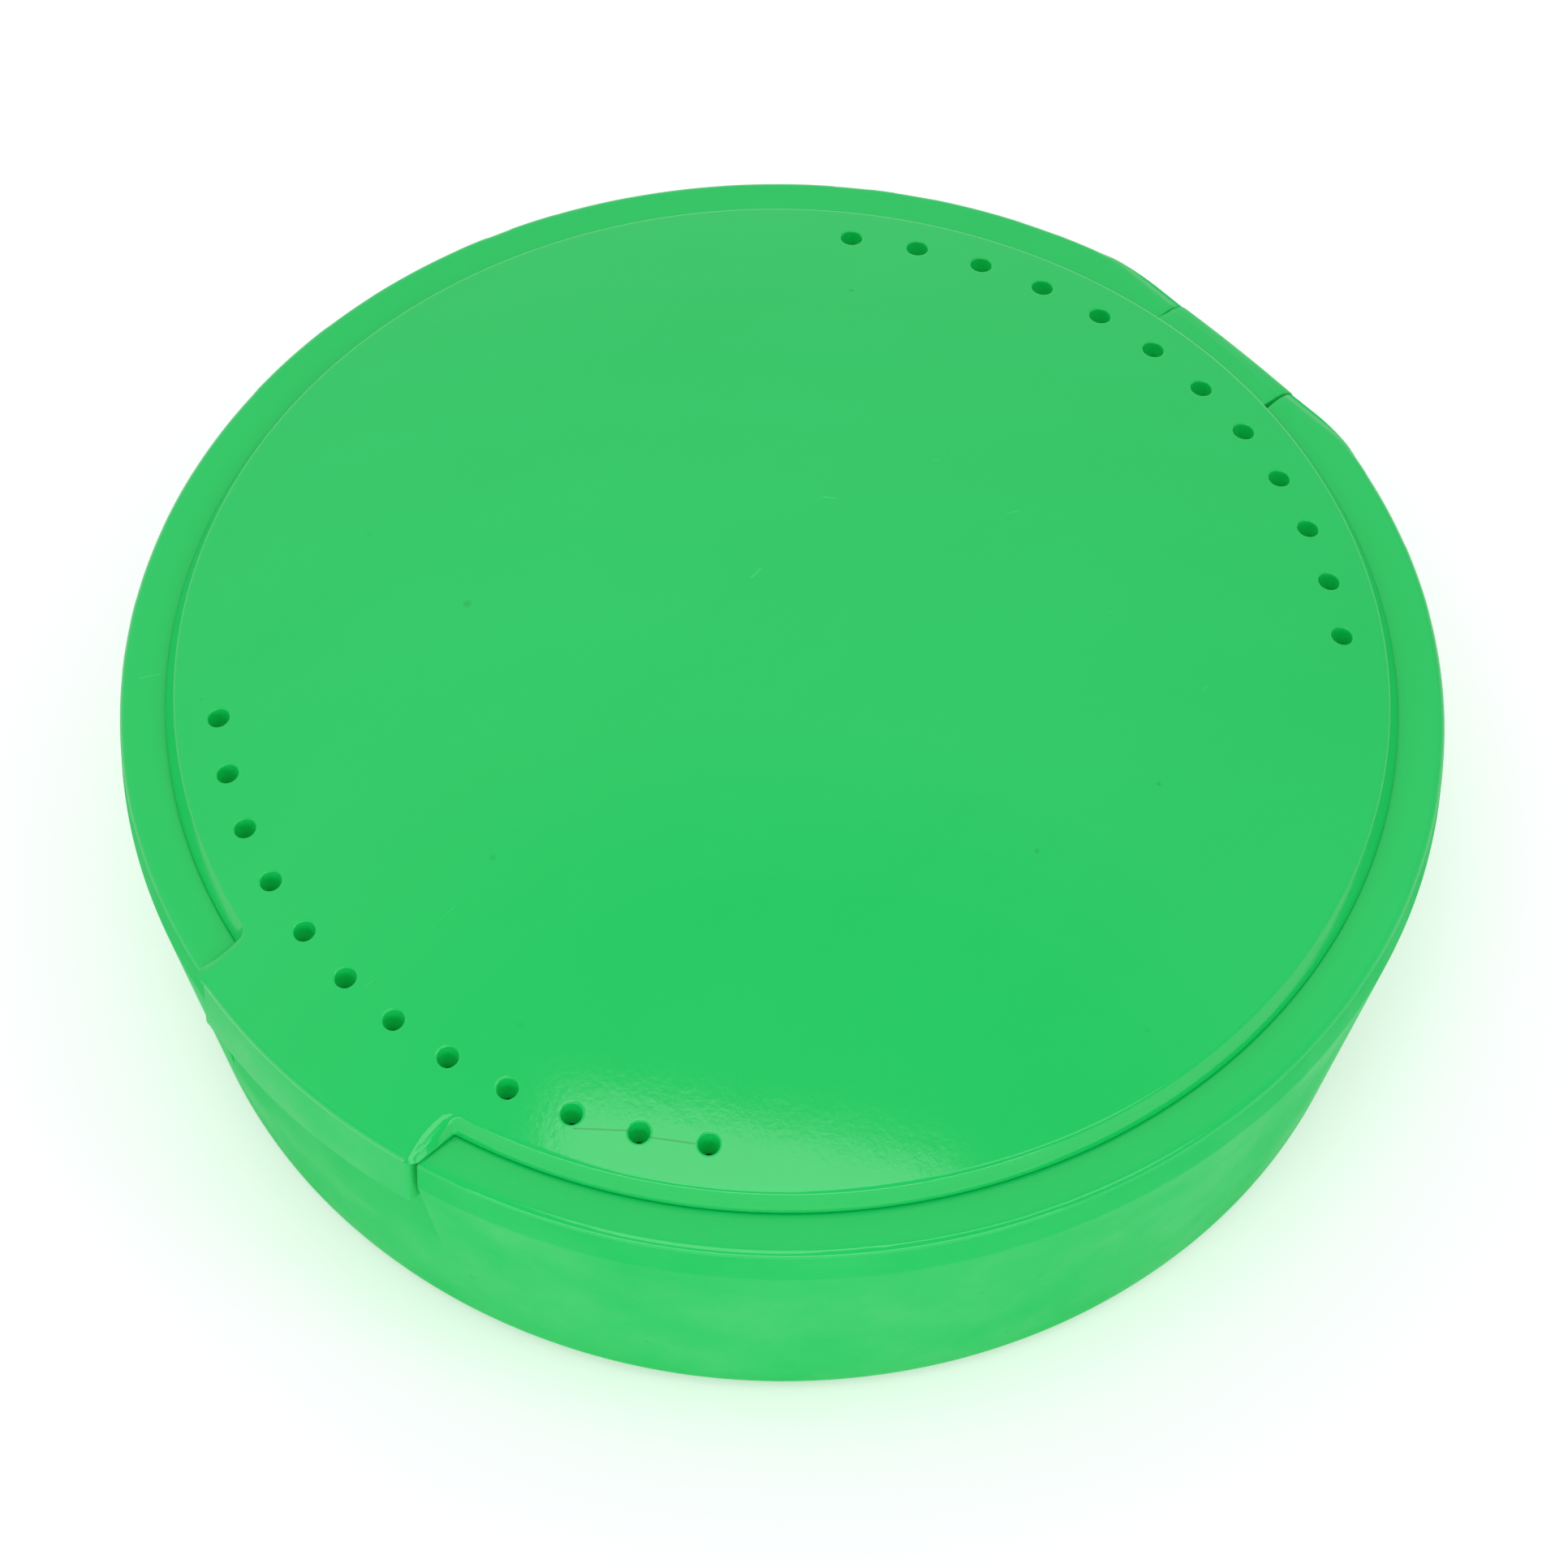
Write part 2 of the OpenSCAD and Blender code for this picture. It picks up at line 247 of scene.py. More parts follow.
def wrapped_grid(name, rings):
    """Adds a grid with one row of points to a ring, and wraps it round into a tube."""
    rows, columns = rings.shape[:2]
    bpy.ops.object.select_all(action="DESELECT")
    bpy.ops.mesh.primitive_grid_add(x_subdivisions=columns, y_subdivisions=rows - 1, size=1)
    piece = bpy.context.object
    piece.name = piece.data.name = name
    closed = np.concatenate([rings, rings[:, :1]], axis=1)
    if len(piece.data.vertices) != closed.shape[0] * closed.shape[1]:
        raise RuntimeError(f"{name}: the grid has {len(piece.data.vertices)} points")
    piece.data.vertices.foreach_set("co", closed.astype(np.float32).ravel())
    piece.data.update()
    return piece


def pick(*pieces):
    """Selects these pieces alone. The last one is active."""
    bpy.ops.object.select_all(action="DESELECT")
    for piece in pieces:
        piece.select_set(True)
    bpy.context.view_layer.objects.active = pieces[-1]


def close_seams(piece):
    """Merges the points that meet, and turns the faces outwards."""
    pick(piece)
    bpy.ops.object.mode_set(mode="EDIT")
    bpy.ops.mesh.select_all(action="SELECT")
    bpy.ops.mesh.remove_doubles(threshold=MERGE_GAP)
    bpy.ops.mesh.dissolve_degenerate(threshold=TINY_EDGE)
    bpy.ops.mesh.select_all(action="SELECT")
    bpy.ops.mesh.normals_make_consistent(inside=False)
    bpy.ops.object.mode_set(mode="OBJECT")


def split_faces(piece):
    """Splits the faces with many corners, as a boolean leaves them, into triangles."""
    pick(piece)
    bpy.ops.object.mode_set(mode="EDIT")
    bpy.ops.mesh.select_mode(type="FACE")
    bpy.ops.mesh.select_all(action="DESELECT")
    bpy.ops.mesh.select_face_by_sides(number=4, type="GREATER")
    bpy.ops.mesh.quads_convert_to_tris(quad_method="BEAUTY", ngon_method="BEAUTY")
    bpy.ops.mesh.select_mode(type="VERT")
    bpy.ops.object.mode_set(mode="OBJECT")


def combine(piece, other, operation):
    """Joins another solid to a piece, or cuts it away, and removes it."""
    pick(piece)
    change = piece.modifiers.new(operation.title(), "BOOLEAN")
    change.operation = operation
    change.solver = "EXACT"
    change.object = other
    bpy.ops.object.modifier_apply(modifier=change.name)
    mesh = other.data
    bpy.data.objects.remove(other)
    bpy.data.meshes.remove(mesh)
    close_seams(piece)
    split_faces(piece)


def hinge_bar(radius, start, end):
    """A round bar along the hinge's line, to cut a bore with."""
    bpy.ops.object.select_all(action="DESELECT")
    bpy.ops.mesh.primitive_cylinder_add(
        vertices=96,
        radius=radius,
        depth=end - start,
        location=((start + end) / 2, HINGE[1], HINGE[2]),
        rotation=(0, QUARTER, 0),
    )
    piece = bpy.context.object
    piece.name = "bore"
    bpy.ops.object.transform_apply(location=True, rotation=True, scale=True)
    return piece


def smooth(piece):
    """Shades a piece smooth, but for its sharp edges."""
    pick(piece)
    bpy.ops.object.shade_smooth_by_angle(angle=SHARP)


# Snap ridges

# A ridge's height, half length, the radius of its round section, and its rows of points
RIDGE_H = 0.3 * MM
RIDGE_HALF = 5 * MM
RIDGE_R = 2 * RIDGE_H
RIDGE_ROWS = 9


def ridge_rise(z, middle, x):
    """How far a low rounded snap ridge stands out at a height z and a place x."""
    rise = np.sqrt(np.maximum(RIDGE_R**2 - (z - middle) ** 2, 0)) - RIDGE_H
    return np.maximum(rise, 0) * (np.abs(x) < RIDGE_HALF)


# Bowl

# Rows of points, in millimetres: radii on the floor and in the hollow under it, heights in the
# well, distances in from the rim's round on its top, depths under the band's foot and the rim
FLOOR_ROWS = (0, 3, 8, 14, 20, 25, 29, 31.6)
HOLLOW_ROWS = (30, 24, 17, 10, 4, 0)
WELL_ROWS = (6.5, 9, 12, 14.5, 16.6, 18.2)
TOP_ROWS = (2.6, 1.8, 0.9, 0.35)
WALL_TOP_ROWS = (0.25, 0.7)
WALL_ROWS = (2.6, 4.4, 6.4, 8, 9.1, 10.4, 12.4, 14.6)
BAND_ROWS = np.linspace(0.7, 2.45, RIDGE_ROWS - 1)

# Counts of rows in the rounds and in the recess's run-out, and single rows: in from the foot
# ring's edge, under the lowered edge of the recess, and before an ear's barrel
MOUTH_ROWS = 6
ROUND_ROWS = 10
RUN_OUT_ROWS = 6
FOOT_ROW = 1.4 * MM
RECESS_ROW = 0.6 * MM
EAR_ROW = 0.1 * MM

# Columns of points round half of the bowl, and steps in the search for the slot's top
RECESS_COLUMNS = 20
CORNER_COLUMNS = 5
RIM_COLUMNS = 26
ROUND_COLUMNS = 270
EAR_COLUMNS = 34
EAR_END_COLUMNS = 4
SLOT_COLUMNS = 9
SLOT_STEPS = 400

# The stretch round the side in which the columns point to the middle, and the radius from which
# the others keep their x
SIDE_FROM = math.radians(30)
SIDE_TO = math.radians(157)
KEEP_X_R = 36 * MM

# Small forms: the step at the band's foot, the soft edges of the foot ring and of the recess, the
# share of its corner's round that is left at the mouth, the round on the ears' ends, and where an
# ear's columns turn and its barrel starts to run out
BAND_STEP = 0.012 * MM
BAND_STEP_H = 0.02 * MM
FOOT_SOFT = 0.12 * MM
HOLLOW_CHAMFER = 0.1 * MM
RECESS_ROUND = 0.22 * MM
MOUTH_SHARE = 0.3
EAR_ROUND = 0.07 * MM
EAR_TURN_X = 11.5 * MM
EAR_FULL_X = 9.6 * MM

# Nicks in the rim's edge: their count, lengths as angles, depth, slant and soft end, and how near
# to the rim's radius an edge has to be
NICKS = 120
NICK_TURNS = (0.035, 0.16)
NICK_DEPTH = 0.045 * MM
NICK_SLANT = 0.7
NICK_BLEND = 0.2
NICK_REACH = 0.5 * MM


class Bowl:
    """The bowl's section, and its columns of points round the case."""

    def __init__(self, s):
        self.s = s
        self.band_z = s.rim_z - s.band_h
        self.bed_z = HINGE[2] - s.slot_r
        self.well_lean = math.atan((s.mouth_r - s.well_r) / (s.rim_z - s.floor_z))
        parts = [self.well_rows(), self.top_rows(), self.edge_rows()]
        parts += [self.band_rows(), self.wall_rows(), self.foot_rows()]
        starts = np.cumsum([len(part) for part in parts])
        self.top_row, self.edge_row, self.band_row, self.wall_row, self.foot_row = starts[:-1]
        self.bed_row = self.wall_row + len(WALL_TOP_ROWS)
        self.r, self.z = np.vstack(parts).T
        dr, dz = np.gradient(self.r), np.gradient(self.z)
        size = np.maximum(np.hypot(dr, dz), 1e-12)
        self.normal_r, self.normal_z = dz / -size, dr / size

    def outer_r(self, z):
        """Radius of the outer wall under the band."""
        return self.s.rim_r - (self.band_z - z) * math.tan(self.s.wall_lean)

    def mark(self, degrees, drop, inset=0):
        """A place on the outside: a turn from the front, and drop and inset from the rim."""
        z = self.s.rim_z - drop * MM
        radius = min(self.outer_r(z), self.s.rim_r) - inset * MM
        return polar(radius, math.radians(degrees), z)

    def inner_r(self, z):
        """Radius of the well's wall."""
        return self.s.well_r + (z - self.s.floor_z) * math.tan(self.well_lean)

    def well_rows(self):
        """The floor, the round at its edge, and the well's wall up to the hinge's height."""
        s = self.s
        flat = round_start(s.well_r, s.well_round, self.well_lean)
        floor = [(k * MM, s.floor_z) for k in FLOOR_ROWS]
        middle = flat, s.floor_z + s.well_round
        bend = arc(middle, s.well_round, -QUARTER, -self.well_lean, ROUND_ROWS)
        heights = [*(k * MM for k in WELL_ROWS), HINGE[2]]
        return [*floor, *bend, *((self.inner_r(z), z) for z in heights)]

    def top_rows(self):
        """The round at the mouth and the rim's flat top."""
        s = self.s
        middle = s.mouth_r + s.mouth_round, s.rim_z - s.mouth_round
        bend = arc(middle, s.mouth_round, math.pi, QUARTER, MOUTH_ROWS)
        edge = s.rim_r - s.rim_round
        return [*bend, *((edge - k * MM, s.rim_z) for k in TOP_ROWS)]

    def edge_rows(self):
        """The round on the rim's outer edge."""
        s = self.s
        middle = s.rim_r - s.rim_round, s.rim_z - s.rim_round
        return arc(middle, s.rim_round, QUARTER, 0, ROUND_ROWS)

    def band_rows(self):
        """The upright band, and the step at its foot."""
        s = self.s
        band = [(s.rim_r, s.rim_z - k * MM) for k in BAND_ROWS]
        return [*band, (s.rim_r - BAND_STEP, self.band_z - BAND_STEP_H)]

    def wall_rows(self):
        """The leaning wall, with a row at the height of the slot's bed."""
        top = [self.band_z - k * MM for k in WALL_TOP_ROWS]
        low = [self.band_z - k * MM for k in WALL_ROWS]
        return [(self.outer_r(z), z) for z in (*top, self.bed_z, *low)]

    def foot_rows(self):
        """The round at the bottom edge, the foot ring and the hollow in the underside."""
        s = self.s
        flat = round_start(self.outer_r(0), s.foot_round, s.wall_lean)
        bend = arc((flat, s.foot_round), s.foot_round, -s.wall_lean, -QUARTER, ROUND_ROWS)
        ring = flat - s.foot_w
        sole = [(flat - FOOT_ROW, 0), (ring + FOOT_SOFT, 0)]
        sole += [(ring + FOOT_SOFT / 4, FOOT_SOFT / 4), (ring, FOOT_SOFT)]
        sole += [(ring, s.hollow - HOLLOW_CHAMFER), (ring - HOLLOW_CHAMFER, s.hollow)]
        return [*bend, *sole, *((k * MM, s.hollow) for k in HOLLOW_ROWS)]

    def recess_section(self):
        """The section through the thumb recess: a lowered edge and an upright face."""
        s = self.s
        r, z = self.r.copy(), self.z.copy()
        top, edge, band, wall = self.top_row, self.edge_row, self.band_row, self.wall_row
        flat, end = top + MOUTH_ROWS, wall + RUN_OUT_ROWS
        inner, low = self.inner_r(s.notch_z) + RECESS_ROUND, s.notch_z - RECESS_ROUND
        outer = s.recess_r - RECESS_ROUND
        z[top - 1] = s.notch_z - RECESS_ROW
        r[top - 1] = self.inner_r(z[top - 1])
        bend = arc((inner, low), RECESS_ROUND, math.pi, QUARTER, MOUTH_ROWS)
        r[top:flat], z[top:flat] = bend.T
        r[flat:edge] = np.linspace(inner + RECESS_ROUND, outer - RECESS_ROUND, edge - flat)
        z[flat:edge] = s.notch_z
        r[edge:band], z[edge:band] = arc((outer, low), RECESS_ROUND, QUARTER, 0, band - edge).T
        r[band:wall] = s.recess_r
        z[band:wall] = s.ridge_z + np.linspace(RIDGE_R, -RIDGE_R, wall - band)
        z[wall:end] = np.linspace(s.ridge_z - 1.5 * RIDGE_R, z[end - 1], end - wall)
        below = slice(wall, self.foot_row)
        r[below] = np.minimum(s.recess_r, self.outer_r(z[below]))
        return r, z

    def column(self, turn, r, z):
        """A section's points, turned from the front by an angle, or by one to each row."""
        return polar(r, np.zeros(len(self.r)) + turn, z)

    def sunk_column(self, turn, sink):
        """A column of the plain section, moved in from its face."""
        return self.column(turn, self.r - self.normal_r * sink, self.z - self.normal_z * sink)

    def turn_at(self, x, r, share):
        """Angle of a column that keeps its x near the cuts, and points to the middle elsewhere."""
        near = np.arcsin(np.minimum(x / np.maximum(r, KEEP_X_R), 1))
        return (1 - share) * near + share * math.asin(min(x / self.s.rim_r, 1))

    def recess_columns(self):
        """From the middle of the front to the recess's rounded corner."""
        s = self.s
        r, z = self.recess_section()
        columns = []
        face = slice(self.band_row, self.wall_row)
        for x in np.linspace(0, s.recess_x, RECESS_COLUMNS):
            out = r.copy()
            out[face] += ridge_rise(z[face], s.ridge_z, x)
            columns.append(self.column(self.turn_at(x, r, 0), out, z))
        drop = np.minimum(s.corner, 0.5 * (np.abs(self.r - r) + np.abs(self.z - z)))
        drop[: self.top_row] = 0
        drop[self.top_row] *= MOUTH_SHARE
        drop[self.foot_row :] = 0
        for a in np.linspace(0, QUARTER, CORNER_COLUMNS):
            turn = self.turn_at(s.recess_x + s.corner * (1 - math.cos(a)), self.r, 0)
            columns.append(self.sunk_column(turn, drop * (1 - math.sin(a))))
        return columns

    def side_columns(self):
        """Along the rim from the recess, and round the side to the hinge ear."""
        s = self.s
        start, end = s.recess_x + s.corner, s.rim_r * math.sin(SIDE_FROM)
        columns = []
        for turn in np.linspace(math.asin(start / s.rim_r), SIDE_FROM, RIM_COLUMNS)[1:]:
            x = s.rim_r * math.sin(turn)
            turns = self.turn_at(x, self.r, fade(x, start, end))
            columns.append(self.column(turns, self.r, self.z))
        for turn in np.linspace(SIDE_FROM, SIDE_TO, ROUND_COLUMNS)[1:]:
            columns.append(self.column(turn, self.r, self.z))
        return columns

    def ear_column(self, x, sink=0.0):
        """A column through a hinge ear, where the rim's edge rolls over into a barrel."""
        s = self.s
        flat, edge, band = self.top_row + MOUTH_ROWS, self.edge_row, self.band_row
        step = self.wall_row - 1
        sinks = np.zeros(len(self.r))
        sinks[self.top_row : self.bed_row] = sink
        share = fade(x, EAR_TURN_X, s.rim_r * math.sin(SIDE_TO))
        plain = self.sunk_column(math.pi - self.turn_at(x, self.r, share), sinks)
        barrel_r = RIM.z - HINGE[2]
        back_y = math.sqrt(s.rim_r**2 - x**2)
        mouth_y = math.sqrt((s.mouth_r + 2 * s.mouth_round) ** 2 - x**2)
        end = math.acos(min(max((back_y - s.ear_y) / barrel_r, 0), 1))
        bend = arc((s.ear_y, HINGE[2]), barrel_r - sink, QUARTER, end, band - edge)
        bend_z = HINGE[2] + barrel_r * math.sin(end)
        rolled = plain.copy()
        rolled[flat:step, 0] = x
        rolled[flat:edge, 1] = np.linspace(mouth_y, s.ear_y - EAR_ROW, edge - flat)
        rolled[flat:edge, 2] = s.rim_z - sink
        rolled[edge:band, 1:] = bend
        rolled[band:step, 1] = min(back_y, s.ear_y + barrel_r) - sink
        rolled[band:step, 2] = np.linspace(bend_z, self.band_z, step - band + 2)[1:-1]
        hold = fade(x, EAR_FULL_X, s.ear_end)
        return rolled * (1 - hold) + plain * hold

    def slot_column(self, x):
        """A column through the knuckle's slot: the wall's stump, a round bed and a way out."""
        s = self.s
        top, edge, end = self.top_row, self.edge_row, self.bed_row + 1
        line = self.column(math.pi - self.turn_at(x, self.r, 0), self.r, self.z)
        heights = np.linspace(self.bed_z, HINGE[2], SLOT_STEPS)
        stump_y = np.sqrt(self.inner_r(heights) ** 2 - x**2)
        round_y = HINGE[1] - np.sqrt(s.slot_r**2 - (heights - HINGE[2]) ** 2)
        meet = np.flatnonzero(stump_y > round_y)
        stump_z = heights[meet[0]] if len(meet) else HINGE[2]
        line[top - 1] = x, math.sqrt(self.inner_r(stump_z) ** 2 - x**2), stump_z
        start = math.pi + math.asin((HINGE[2] - stump_z) / s.slot_r)
        bed = arc(HINGE[1:], s.slot_r, start, 3 * QUARTER, edge - top + 1)
        out_y = math.sqrt(self.outer_r(self.bed_z) ** 2 - x**2)
        line[top:end, 0] = x
        line[top:edge, 1:] = bed[1:] if len(meet) else bed[:-1]
        line[edge:end, 1] = np.linspace(HINGE[1], out_y, end - edge + 1)[1:]
        line[edge:end, 2] = self.bed_z
        return line

    def hinge_columns(self):
        """Through the hinge ear and the knuckle's slot, to the middle of the back."""
        s = self.s
        start, end = s.rim_r * math.sin(SIDE_TO), s.ear_x + EAR_ROUND
        columns = [self.ear_column(x) for x in np.linspace(start, end, EAR_COLUMNS)[1:]]
        for a in np.linspace(QUARTER, 0, EAR_END_COLUMNS)[1:]:
            x = s.ear_x + EAR_ROUND * (1 - math.cos(a))
            columns.append(self.ear_column(x, EAR_ROUND * (1 - math.sin(a))))
        return columns + [self.slot_column(x) for x in np.linspace(s.ear_x, 0, SLOT_COLUMNS)]

    def rings(self):
        """All points: a ring to each row, and a station round the bowl to each column."""
        half = np.array(self.recess_columns() + self.side_columns() + self.hinge_columns())
        other = half[-2:0:-1] * np.array([-1.0, 1.0, 1.0])
        rings = np.concatenate([half, other]).transpose(1, 0, 2)
        self.nick_edge(rings)
        return rings

    def nick_edge(self, rings):
        """Steps the rim's outer edge in and out by a hair, as a worn mould leaves it."""
        s, edge, band = self.s, self.edge_row, self.band_row
        chance = np.random.default_rng(11)
        middle = rings[(edge + band) // 2]
        turn = np.unwrap(np.arctan2(middle[:, 0], -middle[:, 1]))
        breaks = np.cumsum(chance.uniform(*NICK_TURNS, NICKS))
        depths = chance.uniform(0, NICK_DEPTH, NICKS + 1)
        depth = depths[np.searchsorted(breaks, turn - turn.min())]
        depth = depth * (1 - NICK_BLEND) + np.roll(depth, 1) * NICK_BLEND
        on_rim = np.hypot(middle[:, 0], middle[:, 1]) > s.rim_r - NICK_REACH
        beside = np.abs(middle[:, 0]) > s.recess_x + s.corner
        depth = np.where(on_rim & beside, depth, 0)
        outward = unit(middle[:, :2])
        shares = np.sin(np.linspace(0, math.pi, band - edge + 4)) ** 0.5
        for row, share in zip(range(edge - 1, band + 1), shares[1:-1]):
            nick = depth * share * NICK_SLANT
            rings[row, :, :2] -= outward * nick[:, None]
            rings[row, :, 2] -= nick


# Lid

# Vents: their count and pitch, the columns and rows of the grid that belong to one, the half height
# of its block on each face, the flat land round its edge, and its lower edge
VENT_COUNT = 12
VENT_PITCH = math.radians(7)
VENT_COLUMNS = 16
VENT_ROWS = VENT_COLUMNS // 2
VENT_BLOCK = 1.05 * MM
VENT_BLOCK_UNDER = 0.9 * MM
VENT_LAND = 1.35
VENT_LOW_EDGE = 0.05 * MM

# Columns of one side between the rows of vents, and the column in the middle of the front
SIDE_COLUMNS = 120
FRONT = VENT_COUNT * VENT_COLUMNS // 2

# Columns of the tab, counted from the middle of its front: where each part of its edge starts, and
# how many columns the round on its side takes to fade
CORNER = 16
SKIRT = CORNER + 5
SIDE = SKIRT + 3
FILLET = SIDE + 4
TAB_END = FILLET + 5
SIDE_EASE = 8

# Radii of the rows of points on the dome and on its underside, in millimetres, shares of the way
# from the last full circle to the edge, rows in the edge's round, and shares of the skirt's side
DOME_ROWS = (0, 1.2, 3, 5.5, 8.5, 12, 15.5, 19, 22.5, 25.5, 28, 30, 31.5, 32.6, 33.4)
UNDER_ROWS = (33.3, 32, 30, 27.5, 24.5, 21, 17.5, 14, 10.5, 7, 4, 1.5, 0)
SHOULDER_R = 36.35 * MM
SHOULDER_SHARES = (0, 0.2, 0.42, 0.62, 0.8, 0.92)
EDGE_ROWS = 7
SKIRT_SHARES = (0.33, 0.67, 1)

# Small forms: how far up the lip's side its mould line lies, the line's height, the lip's soft
# edge, the first row of the tab's front, and the rounds and ends of the skirt and the ring
PARTING = 0.4
SEAM_H = 0.03 * MM
LIP_SOFT = 0.1 * MM
FRONT_ROW = 0.3 * MM
SKIRT_ROUND = 0.15 * MM
SKIRT_END = 0.25 * MM
RING_ROUND = 0.2 * MM


class Dome:
    """The lid's two spheres."""

    def __init__(self, s):
        rise = s.top_z - s.crease_z
        self.r = (s.crease_r**2 + rise**2) / (2 * rise)
        self.z = s.top_z - self.r
        self.inner = self.r - s.thickness

    def outside(self, radius):
        """Height of the outer face."""
        return self.z + np.sqrt(self.r**2 - np.square(radius))

    def mark(self, x, y, drop=0):
        """A place on the outer face, or under it: millimetres seen from above, and a drop."""
        return x * MM, y * MM, self.outside(math.hypot(x, y) * MM) - drop * MM

    def underside(self, radius):
        """Height of the inner face."""
        return self.z + np.sqrt(self.inner**2 - np.square(radius))


def lid_turns():
    """Angles of the lid's columns. Each vent hole has sixteen of them."""
    fine = np.arange(-FRONT, FRONT) * VENT_PITCH / VENT_COLUMNS
    side = np.linspace(-fine[0], math.pi + fine[0], SIDE_COLUMNS, endpoint=False)
    return np.concatenate([fine, side, math.pi + fine, math.pi + side])


def tab_edge(s):
    """Half of the tab's top edge, seen from above: its points and their outward normals."""
    corner_x = s.tab_x - s.tab_corner
    corner_y = -math.sqrt((s.tab_r - s.tab_corner) ** 2 - corner_x**2)
    fillet_x = s.tab_x + s.tab_fillet
    fillet_y = -math.sqrt((s.crease_r + s.tab_fillet) ** 2 - fillet_x**2)
    step_y = -math.sqrt(s.skirt_r**2 - s.tab_x**2)
    front_x = np.linspace(0, corner_x * s.tab_r / (s.tab_r - s.tab_corner), CORNER + 1)[:-1]
    front = np.stack([front_x, -np.sqrt(s.tab_r**2 - front_x**2)], 1)
    corner = arc((0, 0), 1, math.atan2(corner_y, corner_x), 0, SKIRT - CORNER)
    fillet = arc((0, 0), 1, math.pi, math.atan2(-fillet_y, -fillet_x), TAB_END - FILLET + 1)
    skirt_y = corner_y + (step_y - corner_y) * np.array(SKIRT_SHARES)
    side_y = np.append(skirt_y, np.linspace(step_y, fillet_y, FILLET - SIDE + 1)[:-1])
    side = np.stack([np.full(len(side_y), s.tab_x), side_y], 1)
    points = [front, (corner_x, corner_y) + s.tab_corner * corner, side]
    points.append((fillet_x, fillet_y) + s.tab_fillet * fillet)
    normals = [front / s.tab_r, corner, np.tile((1.0, 0.0), (len(side), 1)), -fillet]
    return np.concatenate(points), np.concatenate(normals)


def lid_edge(s, turn):
    """The whole top edge of the lid, seen from above: its points and their outward normals."""
    points, normals = tab_edge(s)
    around = (turn + math.pi) % (2 * math.pi) - math.pi
    # Between the tab and the last vent, the columns move to make room for the tab's own
    sector, first = -turn[0], turn[FRONT + TAB_END]
    last = math.atan2(points[-1, 0], -points[-1, 1])
    moved = last + (np.abs(around) - first) * (sector - last) / (sector - first)
    around = np.where(np.abs(around) < sector, np.copysign(moved, around), around)
    normal = np.stack([np.sin(around), -np.cos(around)], 1)
    edge = s.crease_r * normal
    for side in (-1, 1):
        columns = FRONT + side * np.arange(TAB_END + 1)
        edge[columns] = points * (side, 1)
        normal[columns] = normals * (side, 1)
    return edge, normal


